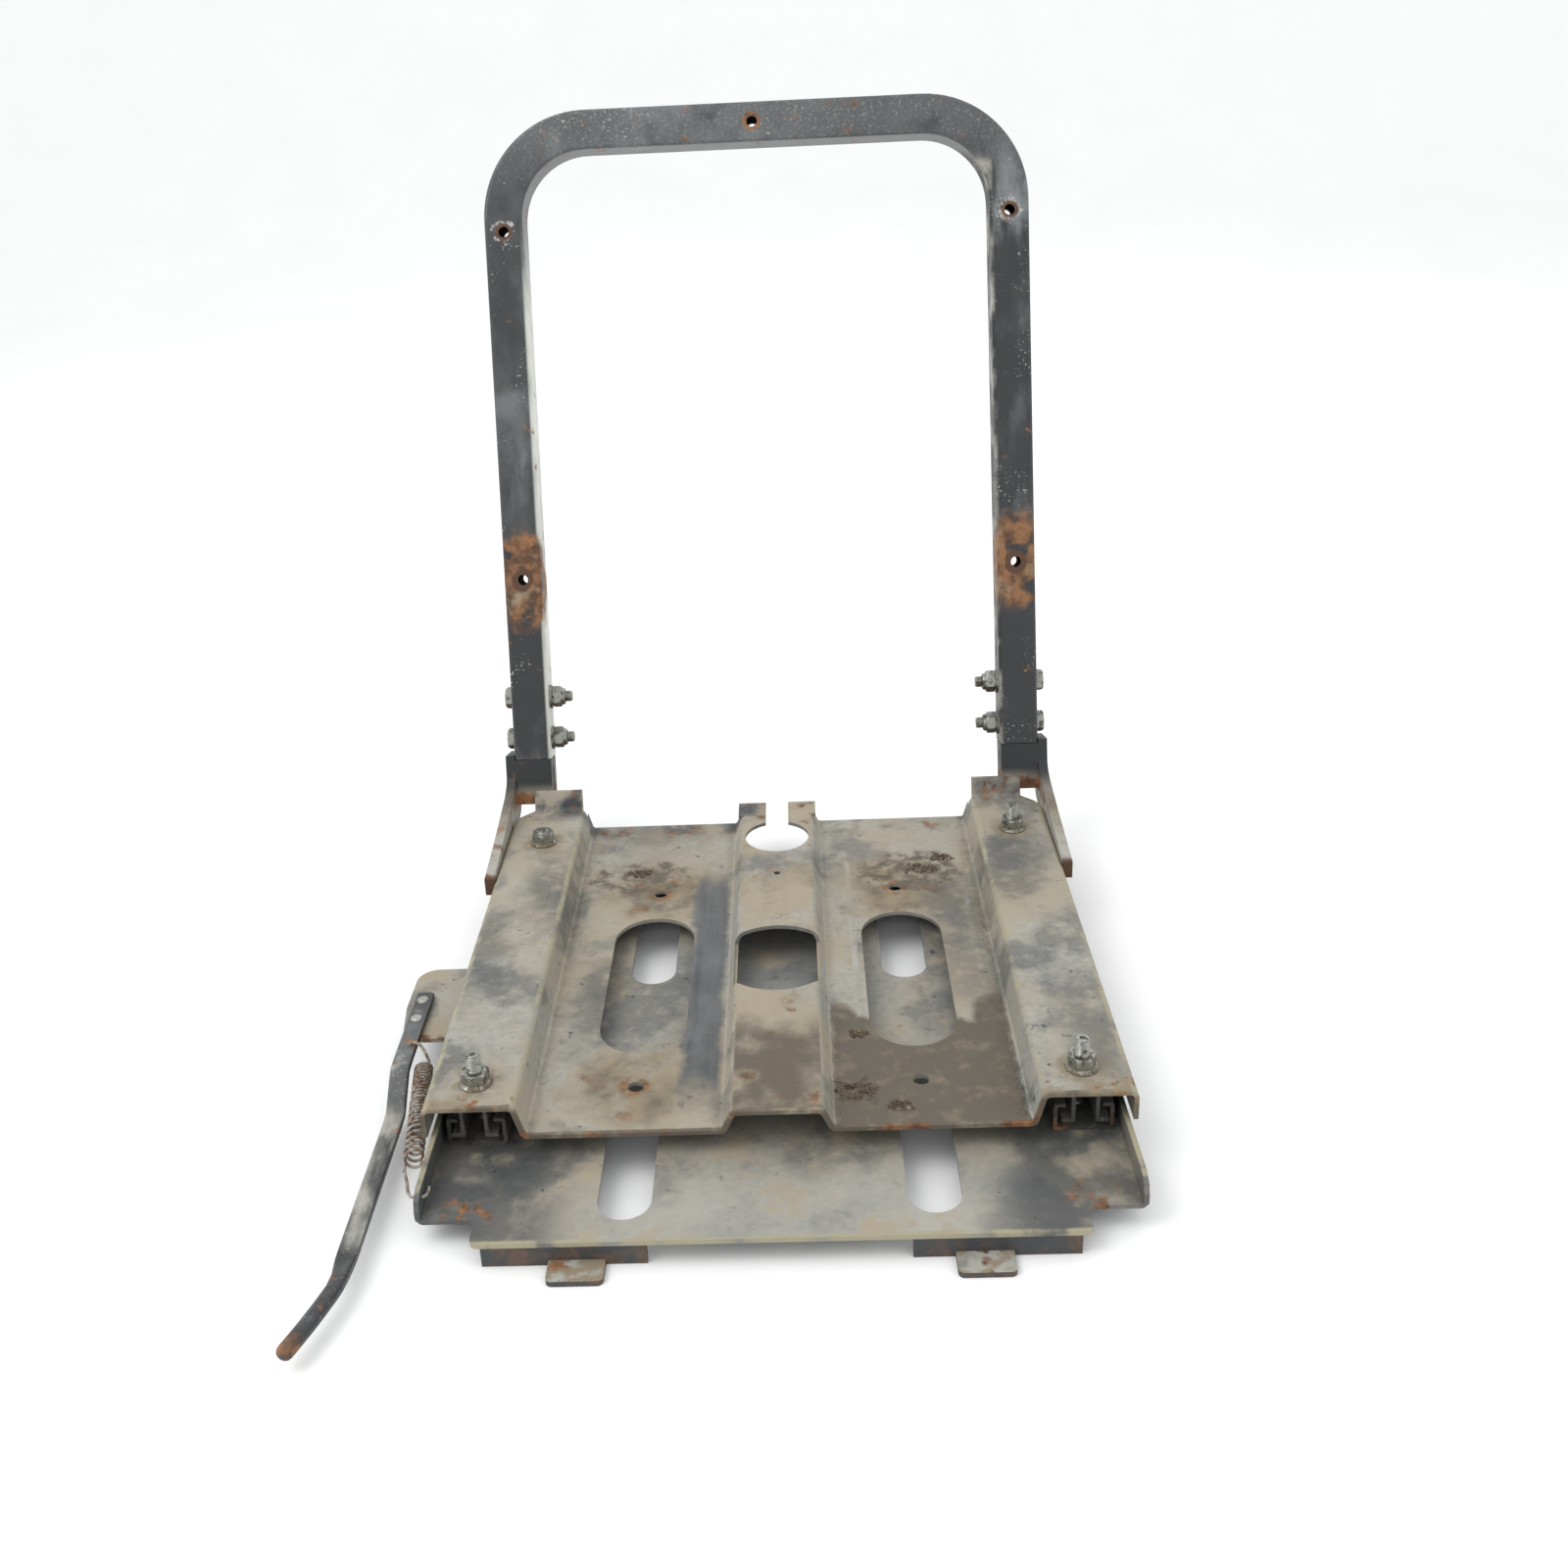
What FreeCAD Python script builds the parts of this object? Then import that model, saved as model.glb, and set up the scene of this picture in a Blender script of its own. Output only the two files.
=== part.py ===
import FreeCAD, Part
import math
import os
import Sketcher
from FreeCAD import Rotation, Vector

# Vehicle seat frame: a slotted base plate carries two ball-bearing slide rails,
# a pressed seat pan rides on them, a sprung latch lever locks the slide, and a
# square-tube hoop for the backrest is bolted to two brackets at the pan's rear.
# X is across the seat, +Y points to the rear, +Z is up. The origin is on the
# floor, under the middle of the base plate's front edge. Millimetres.

doc = FreeCAD.newDocument("seat_frame")
sheet = doc.addObject("Spreadsheet::Sheet", "sizes")


class Size:
    """A length or angle that knows its number and the sheet formula behind it."""

    def __init__(self, value, text):
        self.value = value
        self.text = text

    def __add__(self, other):
        other = as_size(other)
        return Size(self.value + other.value, f"({self.text} + {other.text})")

    def __sub__(self, other):
        other = as_size(other)
        return Size(self.value - other.value, f"({self.text} - {other.text})")

    def __mul__(self, factor):
        factor = as_size(factor)
        return Size(self.value * factor.value, f"({self.text} * {factor.text})")

    def __truediv__(self, divisor):
        divisor = as_size(divisor)
        return Size(self.value / divisor.value, f"({self.text} / {divisor.text})")

    def __neg__(self):
        return self * -1

    def __radd__(self, other):
        return as_size(other) + self

    def __rsub__(self, other):
        return as_size(other) - self


def as_size(value):
    if isinstance(value, Size):
        return value
    return Size(float(value), f"({value})")


def driving(name, value, note):
    """Write one driving dimension into the sheet and return it as a Size."""
    driving.row += 1
    sheet.set(f"A{driving.row}", name)
    sheet.set(f"B{driving.row}", str(value))
    sheet.set(f"C{driving.row}", note)
    sheet.setAlias(f"B{driving.row}", name)
    return Size(float(value), f"sizes.{name}")


driving.row = 0

# ---- driving dimensions -------------------------------------------------------

half_width = driving("half_width", 177, "middle of the seat to the outside of the pan and hoop")
pan_sheet = driving("pan_sheet", 2.3, "thickness of the pan's steel sheet")
pan_front = driving("pan_front", 62, "front edge of the pan")
pan_rear = driving("pan_rear", 389, "rear edge of the pan's low fields")
hat_top = driving("hat_top", 44, "top of the two raised side hats")
hat_inner = driving("hat_inner", 130.6, "inner edge of a hat's top")
hat_flange_low = driving("hat_flange_low", 27.5, "lower edge of the outer flange")
low_top = driving("low_top", 27, "top of the two low fields")
low_outer = driving("low_outer", 126, "outer edge of a low field")
low_inner = driving("low_inner", 28, "inner edge of a low field")
rib_top = driving("rib_top", 38, "top of the centre rib")
rib_half = driving("rib_half", 23, "half width of the centre rib's top")
window_mid = driving("window_mid", 73.8, "middle of a pan window")
window_width = driving("window_width", 47.6, "width of a pan window")
window_front = driving("window_front", 128, "front end of a pan window")
window_rear = driving("window_rear", 266, "rear end of a pan window")
rib_hole_mid = driving("rib_hole_mid", 202, "middle of the hole in the rib")
rib_hole_radius = driving("rib_hole_radius", 34, "radius of the hole in the rib")
rib_hole_half = driving("rib_hole_half", 24.8, "half width of the hole in the rib")
keyhole_mid = driving("keyhole_mid", 348, "middle of the keyhole")
keyhole_radius = driving("keyhole_radius", 20.8, "radius of the keyhole")
prong_slot = driving("prong_slot", 7.5, "half width of the slot between the prongs")
prong_half = driving("prong_half", 26, "half width over both prongs")
prong_rear = driving("prong_rear", 397, "rear end of the prongs")
prong_root = driving("prong_root", 10, "length of the prongs inside the rib")
rib_cut = driving("rib_cut", 7, "depth of every cut through the rib, from just above it")
cushion_hole_x = driving("cushion_hole_x", 73.7, "cushion holes, from the middle")
cushion_front = driving("cushion_front", 99, "front cushion holes")
cushion_rear = driving("cushion_rear", 296, "rear cushion holes")
cushion_hole_radius = driving("cushion_hole_radius", 4.2, "radius of a cushion hole")
upstand_high = driving("upstand_high", 12, "height of the flange turned up behind each hat")
upstand_foot_extra = driving("upstand_foot_extra", 2, "thickening where that flange leaves the hat")
bend_inside = driving("bend_inside", 2, "inside radius of the pan's bends")
hat_corner = driving("hat_corner", 13, "width of a hat's rounded rear corner")
hat_corner_long = driving("hat_corner_long", 18, "length of a hat's rounded rear corner")
small_hole_y = driving("small_hole_y", 299, "small hole in the rib")
small_hole_radius = driving("small_hole_radius", 2, "radius of the small hole in the rib")

rail_mid = driving("rail_mid", 152.3, "middle of a slide rail and of its studs")
rail_sheet = driving("rail_sheet", 2, "thickness of the rail steel")
rail_half = driving("rail_half", 15, "half width of a lower rail")
rail_high = driving("rail_high", 16, "height of a lower rail")
rail_lip = driving("rail_lip", 6, "width of the lower rail's lips")
rail_front = driving("rail_front", 72, "front end of the lower rails")
rail_rear = driving("rail_rear", 335, "rear end of the lower rails")
foot_half = driving("foot_half", 11.5, "half width over an upper rail's feet")
web_half = driving("web_half", 7, "half width over an upper rail's webs")
upper_front = driving("upper_front", 68, "front end of the upper rails")
upper_rear = driving("upper_rear", 372, "rear end of the upper rails")
ball_radius = driving("ball_radius", 3, "radius of a bearing ball")
ball_play = driving("ball_play", 0.05, "play above and below the balls")
ball_offset = driving("ball_offset", 9.2, "ball rows, from the middle of the rail")
cage_front = driving("cage_front", 150, "front end of the ball cages")
cage_length = driving("cage_length", 150, "length of a ball cage")
notch_pitch = driving("notch_pitch", 12.7, "distance between the latch notches")
notch_width = driving("notch_width", 8, "width of a latch notch")
notch_depth = driving("notch_depth", 3.5, "depth of a latch notch")
stud_front = driving("stud_front", 83, "front rail studs")
stud_rear = driving("stud_rear", 338, "rear rail studs")
bolt_radius = driving("bolt_radius", 3.9, "radius of every bolt and stud shank")
bolt_hole = driving("bolt_hole", 4.2, "radius of every bolt hole")
hex_flats = driving("hex_flats", 12.7, "size across the flats of every hexagon")
thread_play = driving("thread_play", 0.05, "radial play between a thread and its nut")
stud_tall = driving("stud_tall", 16.5, "height of a full stud above the hat")
stud_short = driving("stud_short", 10, "height of the left rear stud above the hat")
stud_tip = driving("stud_tip", 1, "length of a stud's reduced tip")
stud_tip_inset = driving("stud_tip_inset", 0.9, "how much smaller the tip's radius is")
stud_head_high = driving("stud_head_high", 4, "height of a stud's head")
stud_head_x = driving("stud_head_x", 4.8, "half width of a stud's head across the rail")
stud_head_y = driving("stud_head_y", 6, "half length of a stud's head along the rail")
nut_flange = driving("nut_flange", 8.6, "radius of a rail nut's flange")
nut_flange_high = driving("nut_flange_high", 1.6, "thickness of a rail nut's flange")
nut_high = driving("nut_high", 6.4, "height of a rail nut above its flange")
bolt_head_high = driving("bolt_head_high", 5.3, "height of a hoop bolt's head")
bolt_past = driving("bolt_past", 15, "length of a hoop bolt past the tube's inner face")
washer_radius = driving("washer_radius", 8, "outside radius of a hoop washer")
washer_thick = driving("washer_thick", 1.6, "thickness of a hoop washer")
lock_nut_high = driving("lock_nut_high", 6.6, "height of a hoop nut's hexagon")
lock_collar = driving("lock_collar", 5.6, "radius of a hoop nut's locking collar")
lock_collar_high = driving("lock_collar_high", 2.2, "height of a hoop nut's locking collar")
rail_bend = driving("rail_bend", 1.5, "outside radius of a lower rail's bends")
rivet_inset = driving("rivet_inset", 22, "end rail rivets, from the ends of a lower rail")
rivet_second = driving("rivet_second", 110, "middle rail rivets, from the front of a lower rail")
rivet_shank = driving("rivet_shank", 2.5, "radius of a rail rivet")
rivet_play = driving("rivet_play", 0.1, "radial play of every rivet")
rivet_head = driving("rivet_head", 4, "radius of a rail rivet's upper head")
rivet_head_high = driving("rivet_head_high", 1.8, "height of a rail rivet's upper head")
rivet_foot = driving("rivet_foot", 4.4, "radius of a rail rivet's lower head")
rivet_foot_high = driving("rivet_foot_high", 1.6, "height of a rail rivet's lower head")
cage_low = driving("cage_low", 2.4, "height of a ball cage above the lower rail's floor")
cage_sheet = driving("cage_sheet", 1.2, "thickness of a ball cage")
cage_play = driving("cage_play", 1, "gap beside a ball cage")
cage_ball_play = driving("cage_ball_play", 0.1, "radial play of a ball in its cage")
ball_inset = driving("ball_inset", 15, "first and last balls, from the ends of their cage")

base_top = driving("base_top", 14, "top of the base plate")
base_sheet = driving("base_sheet", 2.5, "thickness of the base plate")
base_half = driving("base_half", 173.4, "middle to the outside of the base plate")
base_notch_x = driving("base_notch_x", 145, "half width of the base plate's front edge")
base_notch_y = driving("base_notch_y", 17, "depth of the notched front corners")
base_rear = driving("base_rear", 345, "rear edge of the base plate")
side_flange_top = driving("side_flange_top", 27, "top of the base plate's side flanges")
flange_nose = driving("flange_nose", 5, "how far a side flange's rounded front bulges")
flange_chamfer = driving("flange_chamfer", 3, "size of the cuts that round a side flange's front")
lever_gap_front = driving("lever_gap_front", 8, "gap in the left flange ahead of the latch plate")
lever_gap_rear = driving("lever_gap_rear", 12, "gap in the left flange behind the latch plate")
plate_corner = driving("plate_corner", 4, "radius of the base plate's front corners")
tab_half = driving("tab_half", 12, "half width of the tab under the lever's pivot")
tab_reach = driving("tab_reach", 9.5, "reach of that tab outside the pivot")
tab_corner = driving("tab_corner", 5, "radius of the tab's corners")
slot_mid = driving("slot_mid", 74.2, "middle of a base slot")
slot_width = driving("slot_width", 26.2, "width of a base slot")
slot_front = driving("slot_front", 14.6, "front end of the front slots")
slot_second = driving("slot_second", 214, "front end of the rear slots")
slot_length = driving("slot_length", 84, "length of a base slot")
tongue_mid = driving("tongue_mid", 95, "middle of a tongue's foot")
tongue_wall_mid = driving("tongue_wall_mid", 101, "middle of a tongue's upright wall")
tongue_wall = driving("tongue_wall", 78, "width of a tongue's upright wall")
tongue_corner = driving("tongue_corner", 3, "radius of the corners of a tongue's foot")
foot_setback = driving("foot_setback", 24, "rear feet's walls, ahead of the base plate's rear edge")
foot_past = driving("foot_past", 2, "reach of the rear feet past the base plate's rear edge")
tongue_width = driving("tongue_width", 27, "width of a tongue's foot")
tongue_reach = driving("tongue_reach", 13, "reach of a tongue ahead of the base plate")
tongue_sheet = driving("tongue_sheet", 3, "thickness of tongues and rear feet")

latch_low = driving("latch_low", 22.15, "underside of the latch plate")
latch_sheet = driving("latch_sheet", 2.5, "thickness of the latch plate")
latch_outer = driving("latch_outer", 211, "outer edge of the latch plate")
latch_front = driving("latch_front", 150, "front edge of the latch plate")
latch_rear = driving("latch_rear", 219.5, "rear edge of the latch plate")
latch_tooth_y = driving("latch_tooth_y", 158, "middle of the latch tooth")
latch_tooth = driving("latch_tooth", 6, "width of the latch tooth")
tooth_gap = driving("tooth_gap", 0.4, "gap between the tooth's tip and the mouth of its notch")
pivot_x = driving("pivot_x", 174.5, "lever pivot, from the middle")
pivot_y = driving("pivot_y", 208, "lever pivot, from the base plate's front edge")
pivot_radius = driving("pivot_radius", 3, "radius of the pivot pin")
pivot_play = driving("pivot_play", 0.05, "radial play of the pivot")
pivot_end_play = driving("pivot_end_play", 0.1, "play above and below the latch plate")
pivot_clear = driving("pivot_clear", 0.2, "radial play of the pivot pin in the base plate")
pivot_foot = driving("pivot_foot", 5, "radius of the pivot pin's foot")
pivot_collar = driving("pivot_collar", 4.6, "radius of the spacer under the latch plate")
pivot_head = driving("pivot_head", 4, "radius of the pivot pin's head")
pivot_end_high = driving("pivot_end_high", 2, "height of the pivot pin's foot and head")
latch_lug = driving("latch_lug", 5.5, "radius of the latch plate round the pivot")
latch_clear = driving("latch_clear", 1.5, "gap between the latch plate and the lower rail")
latch_taper = driving("latch_taper", 4, "how far the latch plate's outer edge tapers in")
latch_taper_start = driving("latch_taper_start", 10, "where that taper starts, ahead of the bar's end")
latch_shoulder = driving("latch_shoulder", 2, "step of the latch plate's edge round the pivot")
latch_corner = driving("latch_corner", 12, "radius of the latch plate's outer rear corner")
tooth_corner = driving("tooth_corner", 1, "radius of the tooth's corners")
latch_room = driving("latch_room", 1.2, "room above and below the latch plate in the rail's window")
latch_room_front = driving("latch_room_front", 4, "room ahead of the latch plate in that window")
latch_room_rear = driving("latch_room_rear", 6, "room behind the latch plate in that window")
lever_rivet = driving("lever_rivet", 2, "radius of a lever rivet")
lever_rivet_head = driving("lever_rivet_head", 3.4, "radius of a lever rivet's heads")
lever_rivet_crown = driving("lever_rivet_crown", 2.4, "radius of the crown on the upper head")
lever_rivet_foot_high = driving("lever_rivet_foot_high", 1, "height of a lever rivet's lower head")
lever_rivet_head_high = driving("lever_rivet_head_high", 0.9, "height of the upper head's edge")
lever_rivet_crown_high = driving("lever_rivet_crown_high", 0.6, "height of the crown on the upper head")
lever_rivet_inset = driving("lever_rivet_inset", 8, "rear lever rivet, from the bar's end")
lever_rivet_second = driving("lever_rivet_second", 26, "front lever rivet, from the bar's end")
bar_mid = driving("bar_mid", 201.5, "middle of the lever bar")
bar_width = driving("bar_width", 10, "width of the lever bar")
bar_thick = driving("bar_thick", 4, "thickness of the lever bar")
bar_rear = driving("bar_rear", 190, "rear end of the lever bar")
bar_step_rear = driving("bar_step_rear", 118, "where the bar starts to step down")
bar_step_front = driving("bar_step_front", 102, "where the bar is level again")
bar_low = driving("bar_low", 9, "underside of the bar ahead of its step")
bar_bend = driving("bar_bend", 3, "radius of the bends of the bar's step")
bar_shift = driving("bar_shift", 1, "offset between the upper and lower bends of the step")
handle_root = driving("handle_root", 4, "length of the round handle inside the flat bar")
handle_straight = driving("handle_straight", 16, "straight length of the handle before its bend")
handle_start = driving("handle_start", -6, "where the flat bar turns into the round handle")
handle_radius = driving("handle_radius", 4, "radius of the round handle")
handle_out = driving("handle_out", 14, "how far the handle bends outward")
handle_end = driving("handle_end", -62, "front end of the handle")
spring_hole_y = driving("spring_hole_y", 139, "spring hole in the lever bar")
spring_hole_x = driving("spring_hole_x", 200.5, "spring hole in the lever bar, from the middle")
flange_hole_y = driving("flange_hole_y", 27, "spring hole in the base flange")
flange_hole_z = driving("flange_hole_z", 20, "spring hole in the base flange, above the floor")
spring_hole = driving("spring_hole", 2.2, "radius of both spring holes")
coil_radius = driving("coil_radius", 5.2, "outside radius of the spring's coil")
spring_wire = driving("spring_wire", 0.8, "radius of the spring's wire")

back_lean = driving("back_lean", 15.7, "lean of the backrest hoop, degrees")
hoop_foot_y = driving("hoop_foot_y", 396, "front of the hoop's lower ends")
hoop_foot_z = driving("hoop_foot_z", 77, "height of the hoop's lower ends")
tube_size = driving("tube_size", 25, "side of the hoop's square tube")
tube_wall = driving("tube_wall", 2, "wall of the hoop's square tube")
hoop_long = driving("hoop_long", 424, "hoop's lower ends to its top, along the lean")
hoop_corner = driving("hoop_corner", 68, "outside radius of the hoop's corners")
hoop_low_hole = driving("hoop_low_hole", 121.7, "lower back-cushion holes, along the lean")
hoop_high_hole = driving("hoop_high_hole", 349, "upper back-cushion holes, along the lean")
hoop_hole_radius = driving("hoop_hole_radius", 3.5, "radius of the back-cushion holes")
hoop_bolt_low = driving("hoop_bolt_low", 13, "lower hoop bolts, along the lean")
hoop_bolt_high = driving("hoop_bolt_high", 41, "upper hoop bolts, along the lean")
stub_sheet = driving("stub_sheet", 2.2, "thickness of the bracket channels")
stub_long = driving("stub_long", 31, "length of the bracket channels, along the lean")
stub_flange = driving("stub_flange", 20, "depth of the bracket channels' inner flange")
stub_gap = driving("stub_gap", 0.4, "gap between a bracket channel and the hoop's leg")
stub_slot_near = driving("stub_slot_near", 6, "near side of the slot in a channel's inner flange")
stub_slot_far = driving("stub_slot_far", 9.5, "far side of that slot")
stub_slot_low = driving("stub_slot_low", 24, "lower end of that slot, below the hoop's leg")
stub_slot_high = driving("stub_slot_high", 6, "upper end of that slot, below the hoop's leg")
spigot_side = driving("spigot_side", 20.4, "side of the spigots inside the hoop's legs")
spigot_high = driving("spigot_high", 55, "reach of a spigot into the hoop's leg")
spigot_wall = driving("spigot_wall", 2.5, "wall of a spigot's square tube")
spigot_inset = driving("spigot_inset", 3, "lower end of a spigot above its channel's lower end")
tube_corner = driving("tube_corner", 2.2, "outside radius of the square tube's edges")
gusset_thick = driving("gusset_thick", 6, "thickness of the gusset plates")
gusset_front = driving("gusset_front", 289, "front end of the gusset plates")
gusset_front_low = driving("gusset_front_low", 34, "lower corner of a gusset's front end")
gusset_front_high = driving("gusset_front_high", 45, "upper corner of a gusset's front end")
gusset_waist = driving("gusset_waist", 51, "top of a gusset half way along, and how far back that is")
gusset_rise = driving("gusset_rise", 57, "top of a gusset where it turns up to the hoop")
gusset_rise_end = driving("gusset_rise_end", 60.5, "top of a gusset at the channel's front")
gusset_heel = driving("gusset_heel", 48, "height of a gusset's rear corner")
gusset_heel_low = driving("gusset_heel_low", 36, "height of the cut below a gusset's rear corner")
gusset_low = driving("gusset_low", 30, "lower edge of a gusset")
gusset_bend = driving("gusset_bend", 9, "radius where a gusset turns up to the hoop")

LEFT = -1
RIGHT = 1
NEAR = 0.05
NOTCHES = range(-4, 7)
SIDES = (("left", LEFT), ("right", RIGHT))
zero = as_size(0)
over = as_size(1)
pan_through = as_size(30)


# ---- helpers for bodies, sketches and features --------------------------------

def new_body(label):
    body = doc.addObject("PartDesign::Body", label)
    body.Label = label
    body.AllowCompound = True
    return body


def origin_plane(body, role):
    return next(item for item in body.Origin.OriginFeatures if item.Role == role)


def new_sketch(body, role, offset=zero):
    """A sketch on one of the body's own origin planes, moved along its normal."""
    sketch = body.newObject("Sketcher::SketchObject", f"{body.Name}_sketch")
    sketch.AttachmentSupport = [(origin_plane(body, role), "")]
    sketch.MapMode = "FlatFace"
    sketch.setExpression("AttachmentOffset.Base.z", as_size(offset).text)
    return sketch


def constrain(sketch, kind, *where, size):
    number = sketch.addConstraint(Sketcher.Constraint(kind, *where, size.value))
    sketch.setExpression(f"Constraints[{number}]", size.text)


def pin_point(sketch, shape, point, x, y):
    constrain(sketch, "DistanceX", -1, 1, shape, point, size=as_size(x))
    constrain(sketch, "DistanceY", -1, 1, shape, point, size=as_size(y))


def outline(sketch, points):
    """A closed outline of straight lines; every corner is bound to the sheet."""
    points = [(as_size(x), as_size(y)) for x, y in points]
    corners = [Vector(x.value, y.value, 0) for x, y in points]
    lines = []
    for start, end in zip(corners, corners[1:] + corners[:1]):
        lines.append(sketch.addGeometry(Part.LineSegment(start, end)))
    for line, following in zip(lines, lines[1:] + lines[:1]):
        sketch.addConstraint(Sketcher.Constraint("Coincident", line, 2, following, 1))
    for line, (x, y) in zip(lines, points):
        pin_point(sketch, line, 1, x, y)


def box_outline(sketch, x_low, x_high, y_low, y_high):
    outline(sketch, [(x_low, y_low), (x_high, y_low), (x_high, y_high), (x_low, y_high)])


def circle(sketch, x, y, radius):
    x, y, radius = as_size(x), as_size(y), as_size(radius)
    shape = sketch.addGeometry(Part.Circle(Vector(x.value, y.value, 0), Vector(0, 0, 1), radius.value))
    pin_point(sketch, shape, 3, x, y)
    constrain(sketch, "Radius", shape, size=radius)


def hexagon(sketch, x, y, flats):
    """A hexagon with two flats square to the sketch's second axis."""
    corner = flats / math.sqrt(3)
    points = []
    for turn in range(6):
        angle = math.radians(60 * turn)
        points.append((x + corner * round(math.cos(angle), 6), y + corner * round(math.sin(angle), 6)))
    outline(sketch, points)


def pad(body, sketch, length, back=False):
    feature = body.newObject("PartDesign::Pad", f"{body.Name}_pad")
    feature.Profile = sketch
    feature.setExpression("Length", as_size(length).text)
    feature.Reversed = back
    sketch.Visibility = False
    return feature


def pocket(body, sketch, length, back=False, both=False):
    """Cut the sketch out; both cuts half the length each way from its plane."""
    doc.recompute()
    before = body.Shape.Volume
    feature = body.newObject("PartDesign::Pocket", f"{body.Name}_pocket")
    feature.Profile = sketch
    feature.setExpression("Length", as_size(length).text)
    feature.Reversed = back
    feature.Midplane = both
    doc.recompute()
    if body.Shape.Volume > before - 0.01:
        raise RuntimeError(f"{body.Label}: a pocket cut nothing")
    return feature


def obround_pocket(body, x_mid, width, y_low, y_high, plane_z, depth):
    """A round-ended slot along Y, cut down from plane_z."""
    radius = as_size(width) / 2
    middle = new_sketch(body, "XY_Plane", plane_z)
    box_outline(middle, x_mid - radius, x_mid + radius, y_low + radius, y_high - radius)
    pocket(body, middle, depth)
    for y_end in (y_low + radius, y_high - radius):
        end = new_sketch(body, "XY_Plane", plane_z)
        circle(end, x_mid, y_end, radius)
        pocket(body, end, depth)


def fillet(body, radius, wanted):
    """Round the edges of the body's tip for which wanted(edge) is true."""
    doc.recompute()
    tip = body.Tip
    names = [f"Edge{number}" for number, edge in enumerate(tip.Shape.Edges, 1) if wanted(edge)]
    if not names:
        raise RuntimeError(f"{body.Label}: no edge to round")
    feature = body.newObject("PartDesign::Fillet", f"{body.Name}_fillet")
    feature.Base = (tip, names)
    feature.setExpression("Radius", as_size(radius).text)
    doc.recompute()
    return feature


def runs_along(edge, axis):
    """True for a straight edge parallel to the axis numbered 0, 1 or 2."""
    if not isinstance(edge.Curve, Part.Line):
        return False
    return abs(abs(edge.Curve.Direction[axis]) - 1) < 1e-6


def stands_at(edge, x, y):
    """True for an upright edge at the given X and Y."""
    middle = edge.CenterOfMass
    return runs_along(edge, 2) and abs(middle.x - x) < NEAR and abs(middle.y - y) < NEAR


def lean_back(item):
    """Place a body, drawn upright from the hoop's foot, along the leaning hoop."""
    item.Placement.Rotation = Rotation(Vector(1, 0, 0), -back_lean.value)
    item.setExpression("Placement.Base.y", hoop_foot_y.text)
    item.setExpression("Placement.Base.z", hoop_foot_z.text)
    item.setExpression("Placement.Rotation.Angle", f"-{back_lean.text} * 1deg")


def front_of_lean(height):
    """Y of the hoop's front plane at a height above the floor."""
    slope = round(math.tan(math.radians(back_lean.value)), 5)
    return hoop_foot_y - (hoop_foot_z - height) * slope


# ---- base: plate, tongues, feet, rails, pivot ---------------------------------

def make_base_plate():
    body = new_body("base_plate")
    outer = base_half
    tab_front, tab_rear, tab_out = pivot_y - tab_half, pivot_y + tab_half, pivot_x + tab_reach
    plan = new_sketch(body, "XY_Plane", base_top - base_sheet)
    outline(plan, [
        (-base_notch_x, 0), (base_notch_x, 0), (base_notch_x, base_notch_y), (outer, base_notch_y),
        (outer, base_rear), (-outer, base_rear),
        (-outer, tab_rear), (-tab_out, tab_rear), (-tab_out, tab_front), (-outer, tab_front),
        (-outer, base_notch_y), (-base_notch_x, base_notch_y),
    ])
    pad(body, plan, base_sheet)
    fillet(body, tab_corner, lambda edge: stands_at(edge, tab_out.value * LEFT, tab_front.value)
           or stands_at(edge, tab_out.value * LEFT, tab_rear.value))
    fillet(body, plate_corner,
           lambda edge: runs_along(edge, 2) and edge.CenterOfMass.y < base_notch_y.value + NEAR)
    for side in (LEFT, RIGHT):
        add_side_flange(body, side)
    for side in (LEFT, RIGHT):
        for start in (slot_front, slot_second):
            obround_pocket(body, slot_mid * side, slot_width, start, start + slot_length,
                           base_top + over, base_sheet + over * 2)
    rivet_holes = new_sketch(body, "XY_Plane", base_top + over)
    for x, y in rail_rivet_places():
        circle(rivet_holes, x, y, rivet_shank + rivet_play)
    circle(rivet_holes, -pivot_x, pivot_y, pivot_radius + pivot_clear)
    pocket(body, rivet_holes, base_sheet + over * 2)
    return body


def add_side_flange(body, side):
    """An upturned flange with a rounded front, left out where the lever passes."""
    low, high, front = base_top - base_sheet, side_flange_top, base_notch_y + flange_nose
    nose, chamfer = flange_nose, flange_chamfer
    gap = (latch_front - lever_gap_front, latch_rear + lever_gap_rear)
    stretches = [(front, base_rear)] if side == RIGHT else [(front, gap[0]), (gap[1], base_rear)]
    inner_face = (base_half - base_sheet) * side
    for y_low, y_high in stretches:
        wall = new_sketch(body, "YZ_Plane", inner_face)
        if y_low is front:
            outline(wall, [
                (y_low - chamfer, low), (y_high, low), (y_high, high), (y_low + chamfer, high),
                (y_low - chamfer, high - chamfer), (y_low - nose, high - nose - chamfer),
                (y_low - nose, low + chamfer),
            ])
        else:
            box_outline(wall, y_low, y_high, low, high)
        pad(body, wall, base_sheet, back=side == LEFT)
    if side == LEFT:
        hook_hole = new_sketch(body, "YZ_Plane", -base_half)
        circle(hook_hole, flange_hole_y, flange_hole_z, spring_hole)
        pocket(body, hook_hole, base_sheet * 4, both=True)


def rail_rivet_places():
    places = []
    for side in (LEFT, RIGHT):
        for y in (rail_front + rivet_inset, rail_front + rivet_second, rail_rear - rivet_inset):
            places.append((rail_mid * side, y))
    return places


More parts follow.
